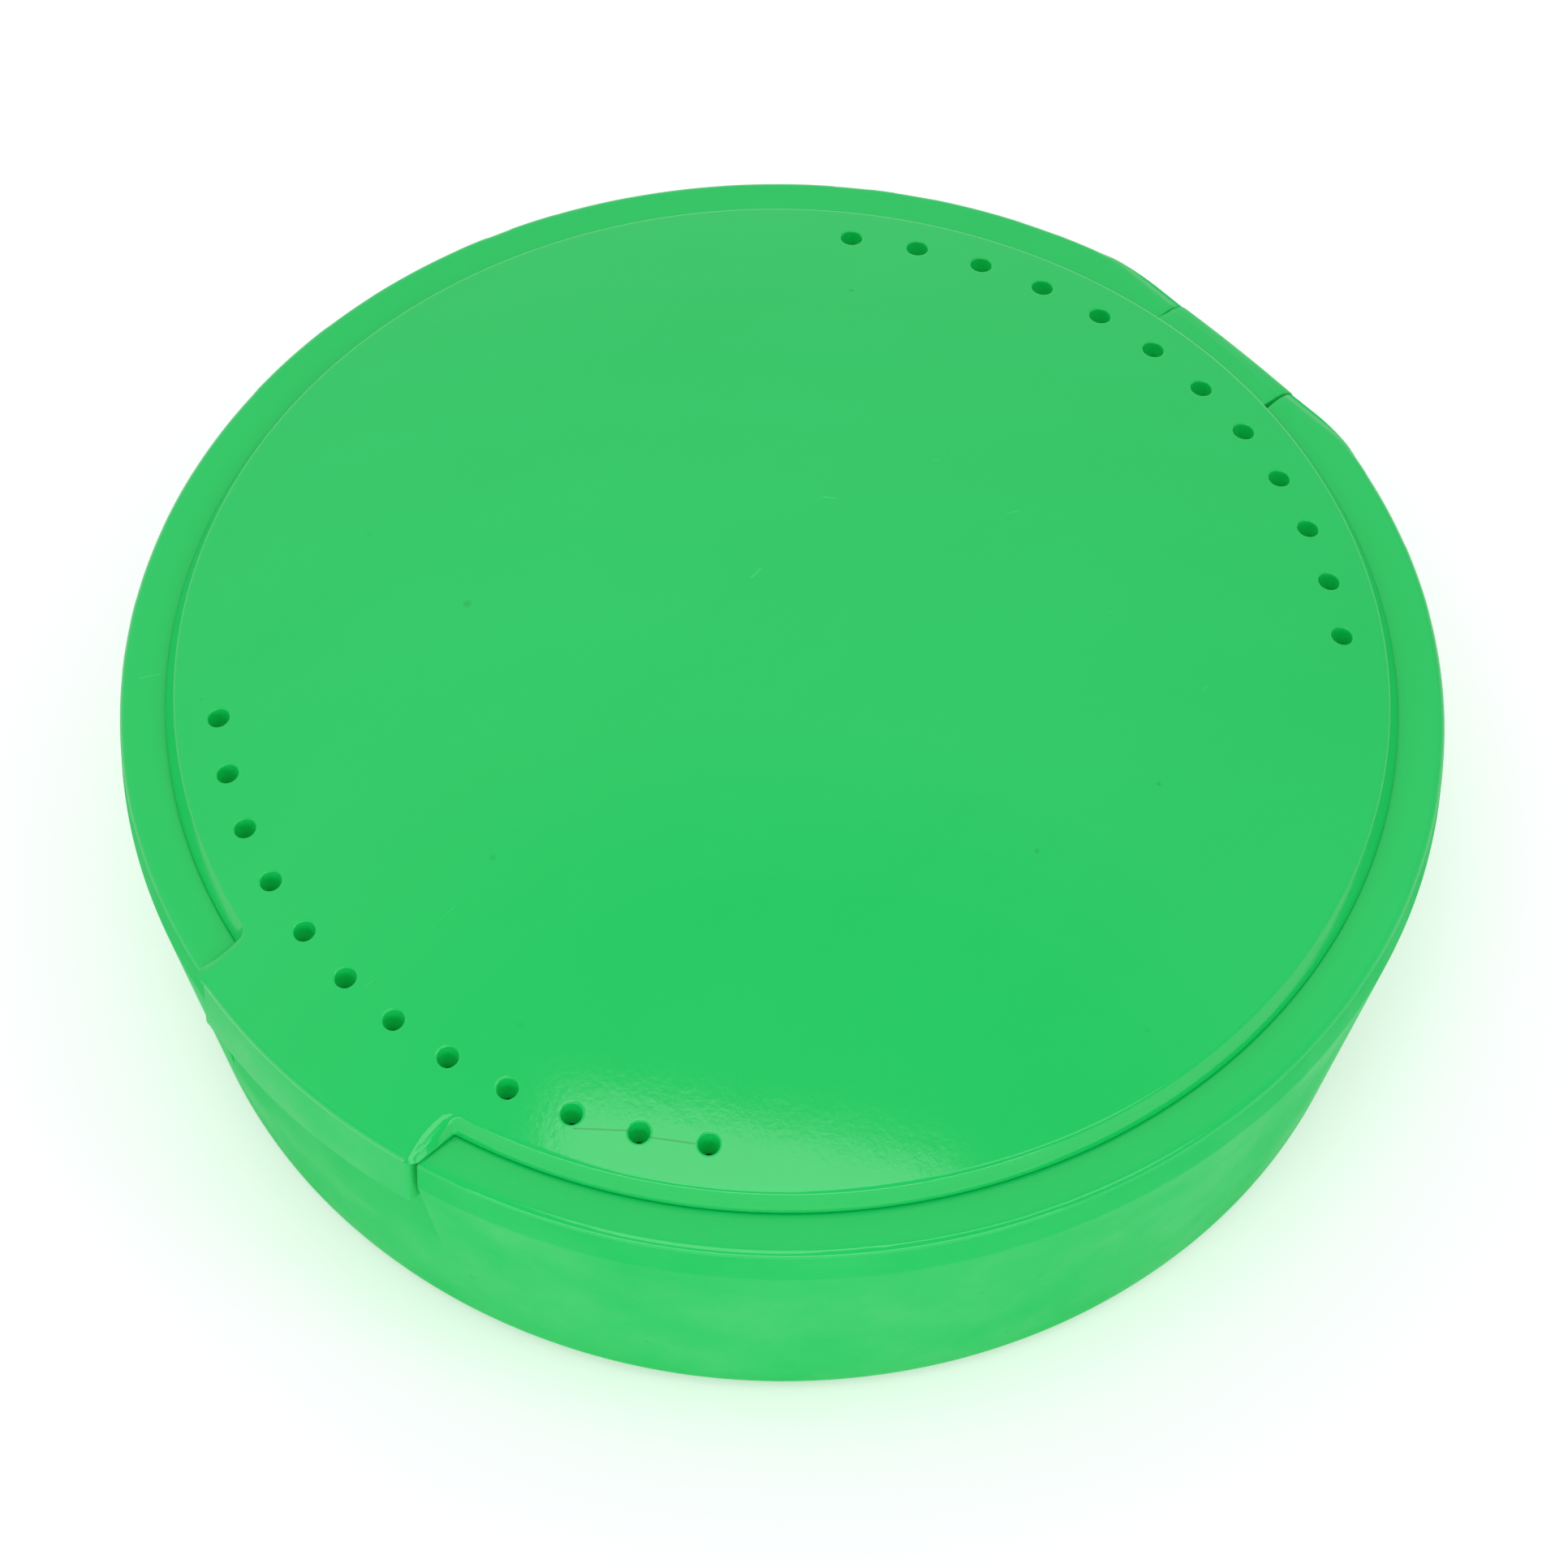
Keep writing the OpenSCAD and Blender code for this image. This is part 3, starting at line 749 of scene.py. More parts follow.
class Lid:
    """The lid's rows of points, from the dome's top over the edge to the underside's middle."""

    def __init__(self, s):
        self.s = s
        self.dome = Dome(s)
        self.turn = lid_turns()
        self.edge, self.normal = lid_edge(s, self.turn)
        self.sign = np.where(self.edge[:, 0] < 0, -1.0, 1.0)
        self.column = np.abs(np.arange(len(self.turn)) - FRONT)
        self.front = self.column < CORNER
        self.corner = (self.column >= CORNER) & (self.column < SKIRT)
        self.skirt = (self.column >= SKIRT) & (self.column < SIDE)
        self.hangs = self.column < SIDE
        self.lip = self.column > TAB_END
        self.lean_side()
        self.gather()

    def lean_side(self):
        """Heights of the top edge, and how far the side face flares out under it."""
        s = self.s
        self.top_z = self.dome.outside(np.hypot(*self.edge.T))
        turned = np.clip((self.column - CORNER) / (SKIRT - 1 - CORNER), 0, 1)
        self.step = np.where(self.hangs & ~self.skirt, turned, 1.0)
        self.lean = math.tan(s.skirt_lean) * (1 - self.step)
        slope = (s.lip_r - s.crease_r) / (s.crease_z - s.lip_z)
        drop = self.top_z - s.lip_z
        brow = np.maximum(slope * drop, s.tab_brow) / np.maximum(drop, LIP_SOFT)
        self.flare = np.where(self.lip, slope, brow * self.step - self.lean)

    def gather(self):
        """Puts the rows together, and keeps the first rows of the blocks that the vents take."""
        s, dome = self.s, self.dome
        rounds = self.edge_rows()
        side_top = rounds[-1][:, 2]
        hung = np.minimum(s.lip_z, side_top - LIP_SOFT)
        low = np.where(self.front | self.corner, hung, s.lip_z)
        block = np.linspace(-1, 1, VENT_ROWS + 1)
        rows = [self.circle(k * MM, dome.outside) for k in DOME_ROWS]
        self.top_row = len(rows)
        rows += [self.circle(k, dome.outside) for k in s.vent_row + VENT_BLOCK * block]
        rows += self.shoulder_rows(rounds[0]) + rounds + self.side_rows(side_top, low)
        rows += self.tab_rows(low) + self.ring_rows()
        self.under_row = len(rows)
        rows += [self.circle(k, dome.underside) for k in s.vent_row - VENT_BLOCK_UNDER * block]
        rows += [self.circle(k * MM, dome.underside) for k in UNDER_ROWS]
        self.rings = np.array(rows)

    def circle(self, radius, face):
        """A row at one radius, on a face of the dome."""
        return polar(radius, self.turn, face(radius))

    def at(self, xy, z):
        """A row of points from its places seen from above and its heights."""
        return np.concatenate([xy, np.broadcast_to(z, len(self.turn))[:, None]], 1)

    def on_side(self, z, inset=0.0):
        """A row on the side face, moved in from it."""
        out = self.flare * (self.top_z - z) - inset
        return self.at(self.edge + self.normal * out[:, None], z)

    def edge_rows(self):
        """The rounded top edge between the dome and the side face."""
        s = self.s
        fall = -np.einsum("ij,ij->i", self.edge, self.normal) / (self.top_z - self.dome.z)
        ease = np.clip((self.column - SIDE) / SIDE_EASE, 0, 1)
        side_round = s.tab_side_round + (s.crease_round - s.tab_side_round) * ease
        radius = s.tab_round + (side_round - s.tab_round) * self.step
        radius = np.where(self.lip, s.crease_round, radius)
        back = unit(np.stack([-np.ones(len(fall)), -fall], 1))
        down = unit(np.stack([self.flare, -np.ones(len(fall))], 1))
        opening = np.arccos(np.einsum("ij,ij->i", back, down))
        heart = unit(back + down) * (radius / np.sin(opening / 2))[:, None]
        reach = (radius / np.tan(opening / 2))[:, None]
        swing = (math.pi - opening)[:, None]
        rows = []
        for t in np.linspace(0, 1, EDGE_ROWS):
            first = (back * reach - heart) * np.sin((1 - t) * swing)
            last = (down * reach - heart) * np.sin(t * swing)
            local = heart + (first + last) / np.sin(swing)
            rows.append(self.at(self.edge + self.normal * local[:, :1], self.top_z + local[:, 1]))
        return rows

    def shoulder_rows(self, end):
        """The dome from its last full circle to the rounded edge."""
        start = polar(SHOULDER_R, self.turn, 0)[:, :2]
        rows = []
        for share in SHOULDER_SHARES:
            xy = start * (1 - share) + end[:, :2] * share
            rows.append(self.at(xy, self.dome.outside(np.hypot(*xy.T))))
        return rows

    def side_rows(self, top, low):
        """The side face with its mould line, down to the lip's soft lower edge."""
        drop = top - low
        parting = low + PARTING * drop
        seam = np.minimum(SEAM_H, 0.1 * drop)
        ledge = np.where(self.front | self.corner, 0, self.s.lip_step)
        soft = np.minimum(LIP_SOFT, 0.25 * drop)
        inset = LIP_SOFT * self.step
        return [
            self.on_side(parting + seam),
            self.on_side(parting - seam, -ledge),
            self.on_side(low + 0.8 * soft),
            self.on_side(low + 0.2 * soft, 0.25 * inset),
            self.on_side(low, inset),
        ]

    def tab_walls(self):
        """Places of the tab's upright side walls, seen from above."""
        s = self.s
        last_y = self.edge[FRONT + FILLET - 1, 1]
        ring_y = -math.sqrt(s.ring_out**2 - s.tab_x**2)
        share = np.clip((self.column - FILLET + 1) / (TAB_END - FILLET + 1), 0, 1)
        y = np.where(self.column < FILLET, self.edge[:, 1], last_y + (ring_y - last_y) * share)
        return np.stack([self.sign * s.tab_x, y], 1)

    def on_skirt(self, z, inset=0.0):
        """A row on the skirt's outer face, moved in from it."""
        fall = (self.lean * (self.top_z - z) + inset)[:, None]
        line = self.at(self.edge - self.normal * fall, z)
        line[self.skirt] = self.at(self.tab_walls() - self.normal * inset, z)[self.skirt]
        return line

    def tab_rows(self, low):
        """The lip's underside, and the tab's side walls, skirt and web."""
        s, hangs = self.s, self.hangs
        beside = ~hangs & ~self.lip
        on_wall = beside | self.skirt
        head = polar(s.ring_out, self.turn, s.lip_z)
        head[on_wall] = self.at(self.tab_walls(), s.lip_z)[on_wall]
        head[self.front] = self.on_side(low - FRONT_ROW)[self.front]
        head[self.corner] = self.on_skirt(low)[self.corner]
        web = head.copy()
        web[beside, 2] = s.web_z
        web[hangs] = self.on_skirt(s.web_z)[hangs]
        foot = web.copy()
        foot[hangs] = self.on_skirt(s.skirt_z + SKIRT_ROUND)[hangs]
        foot[self.column == SIDE - 1, 2] = s.skirt_z
        soles = []
        rounded = self.column < SIDE - 1
        for inset, up in arc((SKIRT_ROUND, SKIRT_ROUND), SKIRT_ROUND, math.pi, 3 * QUARTER, 5)[1:]:
            sole = foot.copy()
            sole[rounded] = self.on_skirt(s.skirt_z + up, inset)[rounded]
            soles.append(sole)
        back = np.where(self.lip[:, None], head, polar(s.ring_out, self.turn, s.web_z))
        end = self.column == TAB_END
        back[end] = foot[end]
        return [head, web, foot, *soles, *self.snap_rows(foot), back]

    def snap_rows(self, foot):
        """The skirt's inner face with the snap ridge, from its lower edge up to the web."""
        s = self.s
        x = np.clip(s.tab_x * self.column / CORNER, 0, s.tab_x - SKIRT_END)
        ridge = s.ridge_z + np.linspace(-RIDGE_R, RIDGE_R, RIDGE_ROWS)
        rows = []
        for z in (s.skirt_z, *ridge, s.web_z):
            y = -np.sqrt((s.skirt_r - ridge_rise(z, s.ridge_z, x)) ** 2 - x**2)
            height = np.where(self.front, z, s.web_z if z == s.web_z else s.skirt_z)
            face = self.at(np.stack([self.sign * x, y], 1), height)
            rows.append(np.where(self.hangs[:, None], face, foot))
        return rows

    def ring_rows(self):
        """The locating ring. In its break at the hinge the rows lie flat."""
        s, dome = self.s, self.dome
        around = np.abs((self.turn + math.pi) % (2 * math.pi) - math.pi)
        gap = math.pi - around < s.ring_break
        flat_r = math.sqrt(dome.inner**2 - (s.lip_z - dome.z) ** 2)
        low = s.ring_z + RING_ROUND
        steps = [*arc((s.ring_out - RING_ROUND, low), RING_ROUND, 0, -QUARTER, 4)]
        steps += [*arc((s.ring_in + RING_ROUND, low), RING_ROUND, -QUARTER, -math.pi, 4)]
        flats = [*np.linspace(s.ring_out, flat_r, len(steps) - 2)]
        flats += [flat_r - RING_ROUND, s.ring_in + RING_ROUND / 2]
        rows = []
        for (r, z), flat in zip(steps, flats):
            flat_z = max(s.lip_z, dome.underside(flat))
            rows.append(polar(np.where(gap, flat, r), self.turn, np.where(gap, flat_z, z)))
        return [*rows, self.circle(s.ring_in, dome.underside)]


# Vents and knuckle


def vent_columns():
    """The middle column of each vent hole, along the front row and then along the back one."""
    front = [VENT_COLUMNS // 2 + k * VENT_COLUMNS for k in range(VENT_COUNT)]
    return front + [2 * FRONT + SIDE_COLUMNS + column for column in front]


def loop_round(rings, row, column):
    """The points round a block of squares in the grid, from one corner."""
    left, right, end = column - VENT_ROWS // 2, column + VENT_ROWS // 2, row + VENT_ROWS
    places = [(row, left + k) for k in range(VENT_ROWS)]
    places += [(row + k, right) for k in range(VENT_ROWS)]
    places += [(end, right - k) for k in range(VENT_ROWS)]
    places += [(end - k, left) for k in range(VENT_ROWS)]
    return np.array([rings[a, b % rings.shape[1]] for a, b in places])


def vent_tube(lid, column):
    """The rounded edge and wall of one vent hole, from the dome's face to the underside's."""
    s, dome = lid.s, lid.dome
    top = loop_round(lid.rings, lid.top_row, column)
    low = loop_round(lid.rings, lid.under_row, column)
    count = len(top)
    low = low[(3 * VENT_ROWS - np.arange(count)) % count]
    centre = lid.rings[lid.top_row + VENT_ROWS // 2, column % lid.rings.shape[1], :2]
    out = centre / np.linalg.norm(centre)
    along = np.array([-out[1], out[0]])
    turn = math.radians(225) + 2 * math.pi * np.arange(count)[:, None] / count
    spokes = np.cos(turn) * along + np.sin(turn) * out

    def circle(radius, drop, face):
        xy = centre + spokes * radius
        return np.concatenate([xy, (face(np.hypot(*xy.T)) + drop)[:, None]], 1)

    soft, low_r = s.vent_round, s.vent_r - s.vent_draft
    tube = [top, circle(s.vent_r + VENT_LAND * soft, 0, dome.outside)]
    for radius, drop in arc((s.vent_r + soft, -soft), soft, QUARTER, math.pi, 5):
        tube.append(circle(radius, drop, dome.outside))
    tube.append(circle(s.vent_r - 0.5 * s.vent_draft, -0.5 * s.thickness, dome.outside))
    tube.append(circle(low_r, VENT_LOW_EDGE, dome.underside))
    tube.append(circle(low_r + VENT_LOW_EDGE, 0, dome.underside))
    return np.array([*tube, low])


def cut_vent_blocks(piece, lid):
    """Deletes the squares of the grid that the vent holes take up."""
    columns = lid.rings.shape[1]
    doomed = set()
    for row in (lid.top_row, lid.under_row):
        for column in vent_columns():
            for k in range(VENT_ROWS**2):
                down, along = divmod(k, VENT_ROWS)
                doomed.add((row + down, (column + along - VENT_ROWS // 2) % columns))
    pick(piece)
    bpy.ops.object.mode_set(mode="EDIT")
    bpy.ops.mesh.select_all(action="DESELECT")
    bpy.ops.mesh.select_mode(type="FACE")
    bpy.ops.object.mode_set(mode="OBJECT")
    for face in piece.data.polygons:
        face.select = divmod(min(face.vertices), columns + 1) in doomed
    bpy.ops.object.mode_set(mode="EDIT")
    bpy.ops.mesh.delete(type="FACE")
    bpy.ops.mesh.select_mode(type="VERT")
    bpy.ops.object.mode_set(mode="OBJECT")


# Knuckle: where its barrel meets the web, points and rings of the barrel, and the web: how far it
# stands back from the lip's edge, and how deep it is let into the lip
BARREL_END = math.radians(81)
BARREL_POINTS = 72
KNUCKLE_RINGS = 8
WEB_BACK = 0.1 * MM
WEB_IN_BACK = 0.5 * MM
WEB_IN = 0.3 * MM
WEB_LIFT = 0.03 * MM


def knuckle_section(s, x, inset):
    """A section of the crowned barrel, and of the web that carries it, with its face moved in."""
    radius = s.barrel_r - s.crown * (x / s.knuckle_x) ** 2 - inset
    barrel = arc(HINGE[1:], radius, math.pi, 2 * math.pi + BARREL_END, BARREL_POINTS)
    web = [
        (math.sqrt((s.lip_r - WEB_BACK) ** 2 - x**2), s.lip_z + WEB_LIFT - inset),
        (math.sqrt((s.lip_r - WEB_IN_BACK) ** 2 - x**2), s.lip_z + WEB_IN),
        (HINGE[1] - s.barrel_r + inset, s.lip_z + WEB_IN),
    ]
    outline = np.concatenate([barrel, web])
    return np.concatenate([np.full((len(outline), 1), x), outline], 1)


def knuckle(s):
    """The hinge knuckle, in one with the web that carries it under the lip."""
    end, soft = s.knuckle_x, s.knuckle_round
    half = [*arc((soft - end, soft), soft, math.pi, 3 * QUARTER, 3)[:-1]]
    half += [(x, 0) for x in np.linspace(soft - end, 0, KNUCKLE_RINGS)]
    rings = [knuckle_section(s, x, inset) for x, inset in half]
    rings += [knuckle_section(s, -x, inset) for x, inset in half[-2::-1]]
    middle = np.array([0, HINGE[1], HINGE[2]])
    caps = [rings[k] * (1, 0, 0) + middle for k in (0, -1)]
    piece = wrapped_grid("knuckle", np.array([caps[0], *rings, caps[1]]))
    close_seams(piece)
    return piece


# Finishes


def nodes_of(name):
    """A new material with its node tree, shader and object coordinates."""
    material = bpy.data.materials.new(name)
    material.use_nodes = True
    tree = material.node_tree
    shader = tree.nodes["Principled BSDF"]
    place = tree.nodes.new("ShaderNodeTexCoord").outputs["Object"]
    return material, tree, shader, place


def feed(tree, socket, value):
    """Links a value to a socket, or sets it there where it is a constant."""
    if isinstance(value, bpy.types.NodeSocket):
        tree.links.new(value, socket)
    else:
        socket.default_value = value


def noise(tree, place, scale, detail=2.0, rough=0.5):
    """Clouds of noise."""
    node = tree.nodes.new("ShaderNodeTexNoise")
    node.inputs["Scale"].default_value = scale
    node.inputs["Detail"].default_value = detail
    node.inputs["Roughness"].default_value = rough
    tree.links.new(place, node.inputs["Vector"])
    return node.outputs["Fac"]


def stretch(tree, place, scale):
    """Coordinates scaled along each axis."""
    node = tree.nodes.new("ShaderNodeMapping")
    node.inputs["Scale"].default_value = scale
    tree.links.new(place, node.inputs["Vector"])
    return node.outputs["Vector"]


def height_of(tree, place):
    """The Z of some coordinates."""
    node = tree.nodes.new("ShaderNodeSeparateXYZ")
    tree.links.new(place, node.inputs[0])
    return node.outputs["Z"]


def spread(tree, value, low, high, to_low=0.0, to_high=1.0):
    """Maps a value from one range to another, and clamps it."""
    node = tree.nodes.new("ShaderNodeMapRange")
    names = "From Min", "From Max", "To Min", "To Max"
    for name, number in zip(names, (low, high, to_low, to_high)):
        node.inputs[name].default_value = number
    tree.links.new(value, node.inputs["Value"])
    return node.outputs["Result"]


def vectors(tree, operation, first, second, result="Vector"):
    """A vector, or a value, made of two vectors."""
    node = tree.nodes.new("ShaderNodeVectorMath")
    node.operation = operation
    feed(tree, node.inputs[0], first)
    feed(tree, node.inputs["Scale" if operation == "SCALE" else 1], second)
    return node.outputs[result]


def joint(tree, operation, *values):
    """One value made of some values."""
    node = tree.nodes.new("ShaderNodeMath")
    node.operation = operation
    for socket, value in zip(node.inputs, values):
        feed(tree, socket, value)
    return node.outputs[0]


def times(tree, first, second):
    """Two values multiplied."""
    return joint(tree, "MULTIPLY", first, second)


def largest(tree, values):
    """The largest of some values."""
    most = values[0]
    for value in values[1:]:
        most = joint(tree, "MAXIMUM", most, value)
    return most


def tint(tree, share, before, after):
    """Mixes a colour into another by a share."""
    mix = tree.nodes.new("ShaderNodeMix")
    mix.data_type = "RGBA"
    feed(tree, mix.inputs["A"], before)
    feed(tree, mix.inputs["B"], after)
    tree.links.new(share, mix.inputs["Factor"])
    return mix.outputs["Result"]


def relief(tree, height, strength, distance, under=None, invert=False):
    """Fine relief from a height, on top of another relief."""
    node = tree.nodes.new("ShaderNodeBump")
    node.invert = invert
    node.inputs["Strength"].default_value = strength
    node.inputs["Distance"].default_value = distance
    tree.links.new(height, node.inputs["Height"])
    if under:
        tree.links.new(under, node.inputs["Normal"])
    return node.outputs["Normal"]


def near_line(tree, place, start, end, width):
    """One on a line between two points, falling to nothing at its width."""
    run = end - start
    offset = vectors(tree, "SUBTRACT", place, start)
    along = vectors(tree, "DOT_PRODUCT", offset, run / max(run.length_squared, 1e-12), "Value")
    nearest = vectors(tree, "SCALE", run, spread(tree, along, 0, 1))
    away = vectors(tree, "DISTANCE", offset, nearest, "Value")
    return spread(tree, away, width * 0.25, width, 1, 0)


def marks(tree, place, form, table):
    """Lines and spots of wear, and lines of painted highlight, on a form, from a table of their
    places, widths and depths.
    """
    found = []
    for start, end, width, depth in table:
        start, end = Vector(form.mark(*start)), Vector(form.mark(*(end or start)))
        line = near_line(tree, place, start, end, width * MM)
        found.append(spread(tree, line, 0, 1, 0, depth))
    return found


def plastic_colour(tree, place, finish, wear_and_highlight, spots):
    """Green with faint clouds, dark specks, a thin scatter of dust and pale scuffed scratch lines;
    on the lid's tab edge some pale lines are a painted highlight.
    """
    flow = stretch(tree, place, (1, 0.45, 1))
    cloud = spread(tree, noise(tree, flow, 55, 4, 0.6), 0.3, 0.7)
    surface = tint(tree, cloud, (*finish.green, 1), (*finish.pale, 1))
    dust = tree.nodes.new("ShaderNodeTexVoronoi")
    dust.inputs["Scale"].default_value = 170
    tree.links.new(place, dust.inputs["Vector"])
    rare = spread(tree, noise(tree, place, 90, 0), 0.60, 0.66)
    dots = spread(tree, dust.outputs["Distance"], 0.015, 0.035, 0.35, 0)
    dark = largest(tree, [times(tree, rare, dots), *spots])
    surface = tint(tree, dark, surface, (*finish.speck, 1))
    # The pale tint of the scratch lines, which on the tab's side edge is a painted highlight
    scuff_and_highlight = tuple(min(1.0, c * 1.15 + 0.05) for c in finish.pale)
    return tint(tree, spread(tree, wear_and_highlight, 0, 1, 0, 0.5), surface, (*scuff_and_highlight, 1))


def plastic_gloss(tree, place, wear_and_highlight, sheens):
    """Roughness with faint smudges. It changes at some heights, and is duller in the scratch marks
    and the painted highlight lines.
    """
    height = height_of(tree, place)
    dull = spread(tree, noise(tree, place, 130, 4, 0.6), 0.35, 0.7, 0.9, 1.3)
    for z, below, above in sheens:
        dull = times(tree, dull, spread(tree, height, z - 0.15 * MM, z, below, above))
    return joint(tree, "MULTIPLY_ADD", wear_and_highlight, 0.3, dull)


def plastic_relief(tree, place, finish, wear_and_highlight):
    """The mould's fine grain, a slow waviness over it, and furrows in the scratch marks and the
    painted highlight lines.
    """
    grain = relief(tree, noise(tree, place, 2600, 3, 0.6), 0.2, finish.grain)
    wave = relief(tree, noise(tree, place, 420, 2), 0.25, finish.grain, grain)
    return relief(tree, wear_and_highlight, 0.6, finish.scratch, wave, True)


def plastic(finish, name, sheens, form, scratches_and_highlight, specks):
    """Glossy moulded plastic with marks of wear on a form, and pale lines of painted highlight
    where its table holds them.
    """
    material, tree, shader, place = nodes_of(name)
    # The mask of the wear marks, with the pale lines of painted highlight on the lid's tab edge
    wear_and_highlight = largest(tree, marks(tree, place, form, scratches_and_highlight))
    surface = plastic_colour(tree, place, finish, wear_and_highlight, marks(tree, place, form, specks))
    tree.links.new(surface, shader.inputs["Base Color"])
    tree.links.new(plastic_gloss(tree, place, wear_and_highlight, sheens), shader.inputs["Roughness"])
    tree.links.new(plastic_relief(tree, place, finish, wear_and_highlight), shader.inputs["Normal"])
    shader.inputs["IOR"].default_value = 1.46
    shader.inputs["Specular IOR Level"].default_value = 0.56
    return material


# Marks of wear, and lines of painted highlight: start, end (none for a spot), width in millimetres
# and depth. A place on the lid is an x and a y, with a drop under the dome on the tab's round edge.
# A place on the bowl is a turn in degrees and a drop under the rim, with an inset on the rim's top
LID_SCRATCHES_AND_HIGHLIGHT = (
    ((-6.1, 9.3), (-5.5, 9.8), 0.09, 0.9),
    ((-4.5, 1.5), (-4.6, 2.4), 0.11, 1.0),
    ((2.4, 17.0), (2.7, 17.8), 0.08, 0.7),
    ((-0.8, -34.6), (-0.5, -27.4), 0.07, 0.3),
    ((-3.7, 16.7), (-3.5, 17.0), 0.07, 0.6),
    ((11.9, 16.5), (12.2, 16.6), 0.07, 0.6),
    ((19.7, 16.9), (19.6, 17.4), 0.08, 0.6),
    # The next three lines, on the tab's round side edge, are rougher and furrowed like real
    # scuffing, and their pale tint is a painted highlight along that edge
    ((9.1, -40.2, 0.12), (9.1, -39.2, 0.12), 0.14, 0.7),
    ((9.2, -39.6, 0.13), (9.2, -38.6, 0.13), 0.10, 0.8),
    ((9.1, -38.9, 0.11), (9.1, -37.8, 0.11), 0.10, 0.5),
)
LID_SPECKS = (
    ((-15.9, -11.9), None, 0.36, 0.42),
    ((-1.2, -23.6), None, 0.30, 0.25),
    ((-24.8, -11.9), None, 0.30, 0.10),
    ((34.2, -2.6), None, 0.28, 0.14),
    ((-23.8, -27.1), None, 0.16, 0.2),
    ((8.1, -30.1), None, 0.26, 0.12),
    ((15.2, -32.4), (17.6, -30.3), 0.08, 0.8),
    ((18.8, -29.7), (21.1, -28.0), 0.08, 0.8),
)
BOWL_SCRATCHES = (
    ((-45.8, 0, 1.1), (-46.4, 0, 2.4), 0.09, 0.8),
    ((38.2, 3.75), (36.9, 3.85), 0.10, 0.5),
    ((-71.5, 16.8), (-72.4, 14.9), 0.09, 0.4),
)
BOWL_SPECKS = (
    ((16.5, 14.3), None, 0.32, 0.25),
    ((63.6, 9.2), None, 0.2, 0.3),
    ((69.1, 9.2), None, 0.24, 0.2),
    ((67.6, 17.9), None, 0.26, 0.2),
    ((33.5, 15.6), None, 0.22, 0.22),
)


def steel(finish):
    """Drawn steel wire."""
    material, tree, shader, place = nodes_of("drawn_steel")
    lines = noise(tree, stretch(tree, place, (30, 1500, 1500)), 1.0, 2)
    tree.links.new(spread(tree, lines, 0.3, 0.7, 0.28, 0.42), shader.inputs["Roughness"])
    shader.inputs["Base Color"].default_value = (*finish.steel, 1)
    shader.inputs["Metallic"].default_value = 1
    return material


def dress(piece, material):
    """Gives a piece one material."""
    piece.data.materials.clear()
    piece.data.materials.append(material)


# Operators


class CASE_OT_bowl(bpy.types.Operator):
    """Models the bowl with its rim, thumb recess and hinge ears"""

    bl_idname = "retainer_case.bowl"
    bl_label = "Bowl"

    def execute(self, context):
        s, finish = context.scene.case_bowl, context.scene.case_finish
        bowl = Bowl(s)
        piece = wrapped_grid("bowl", bowl.rings())
        close_seams(piece)
        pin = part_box("hinge_pin")
        bore = hinge_bar((pin[1].z - pin[0].z) / 2, -0.5 * s.rim_r, pin[1].x)
        combine(piece, bore, "DIFFERENCE")
        smooth(piece)
        wall_share = finish.wall_satin / finish.band_satin
        sheens = [
            (s.rim_z - 0.3 * MM, finish.band_satin, finish.gloss),
            (s.rim_z - s.band_h + 0.05 * MM, wall_share, 1),
        ]
        dress(piece, plastic(finish, "bowl_green", sheens, bowl, BOWL_SCRATCHES, BOWL_SPECKS))
        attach(piece, "base")
        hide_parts("base_shell")
        return {"FINISHED"}


class CASE_OT_lid(bpy.types.Operator):
    """Models the domed lid with its vents, thumb tab and hinge knuckle"""

    bl_idname = "retainer_case.lid"
    bl_label = "Lid"

    def execute(self, context):
        s, finish = context.scene.case_lid, context.scene.case_finish
        lid = Lid(s)
        piece = wrapped_grid("lid", lid.rings)
        cut_vent_blocks(piece, lid)
        tubes = [
            wrapped_grid(f"vent_{k}", vent_tube(lid, column))
            for k, column in enumerate(vent_columns())
        ]
        pick(*tubes, piece)
        bpy.ops.object.join()
        close_seams(piece)
        combine(piece, knuckle(s), "UNION")
        combine(piece, hinge_bar(s.bore_r, -2 * s.knuckle_x, 2 * s.knuckle_x), "DIFFERENCE")
        pick(piece)
        bpy.ops.object.mode_set(mode="EDIT")
        bpy.ops.mesh.select_all(action="SELECT")
        bpy.ops.transform.translate(value=(-s.play, 0, 0))
        bpy.ops.object.mode_set(mode="OBJECT")
        smooth(piece)
        sheens = [(s.lip_z - 0.2 * MM, finish.skirt_satin, finish.gloss)]
        dress(piece, plastic(finish, "lid_green", sheens, lid.dome, LID_SCRATCHES_AND_HIGHLIGHT, LID_SPECKS))
        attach(piece, "lid")
        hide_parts("lid_shell")
        return {"FINISHED"}


class CASE_OT_pin(bpy.types.Operator):
    """Gives the hinge pin its steel"""

    bl_idname = "retainer_case.pin"
    bl_label = "Hinge pin"

    def execute(self, context):
        dress(frame["nodes"]["hinge_pin"], steel(context.scene.case_finish))
        return {"FINISHED"}


class CASE_OT_stage(bpy.types.Operator):
    """Sets the floor, the light and the camera"""

    bl_idname = "retainer_case.stage"
    bl_label = "Stage"

    def execute(self, context):
        studio = context.scene.case_studio
        set_camera(context, studio)
        set_floor(studio)
        set_walls(context, studio)
        set_lights(context, studio)
        context.scene.view_settings.view_transform = "Standard"
        return {"FINISHED"}


# Stage

# Camera: its sensor in millimetres and its range, and the point that it looks at, as a height over
# the case's middle and shifts in the picture
SENSOR_W = 36
CAMERA_RANGE = (0.01, 10)
AIM_Z = 23.95 * MM
AIM_RIGHT = 0.0914 * MM
AIM_DOWN = 6.6686 * MM

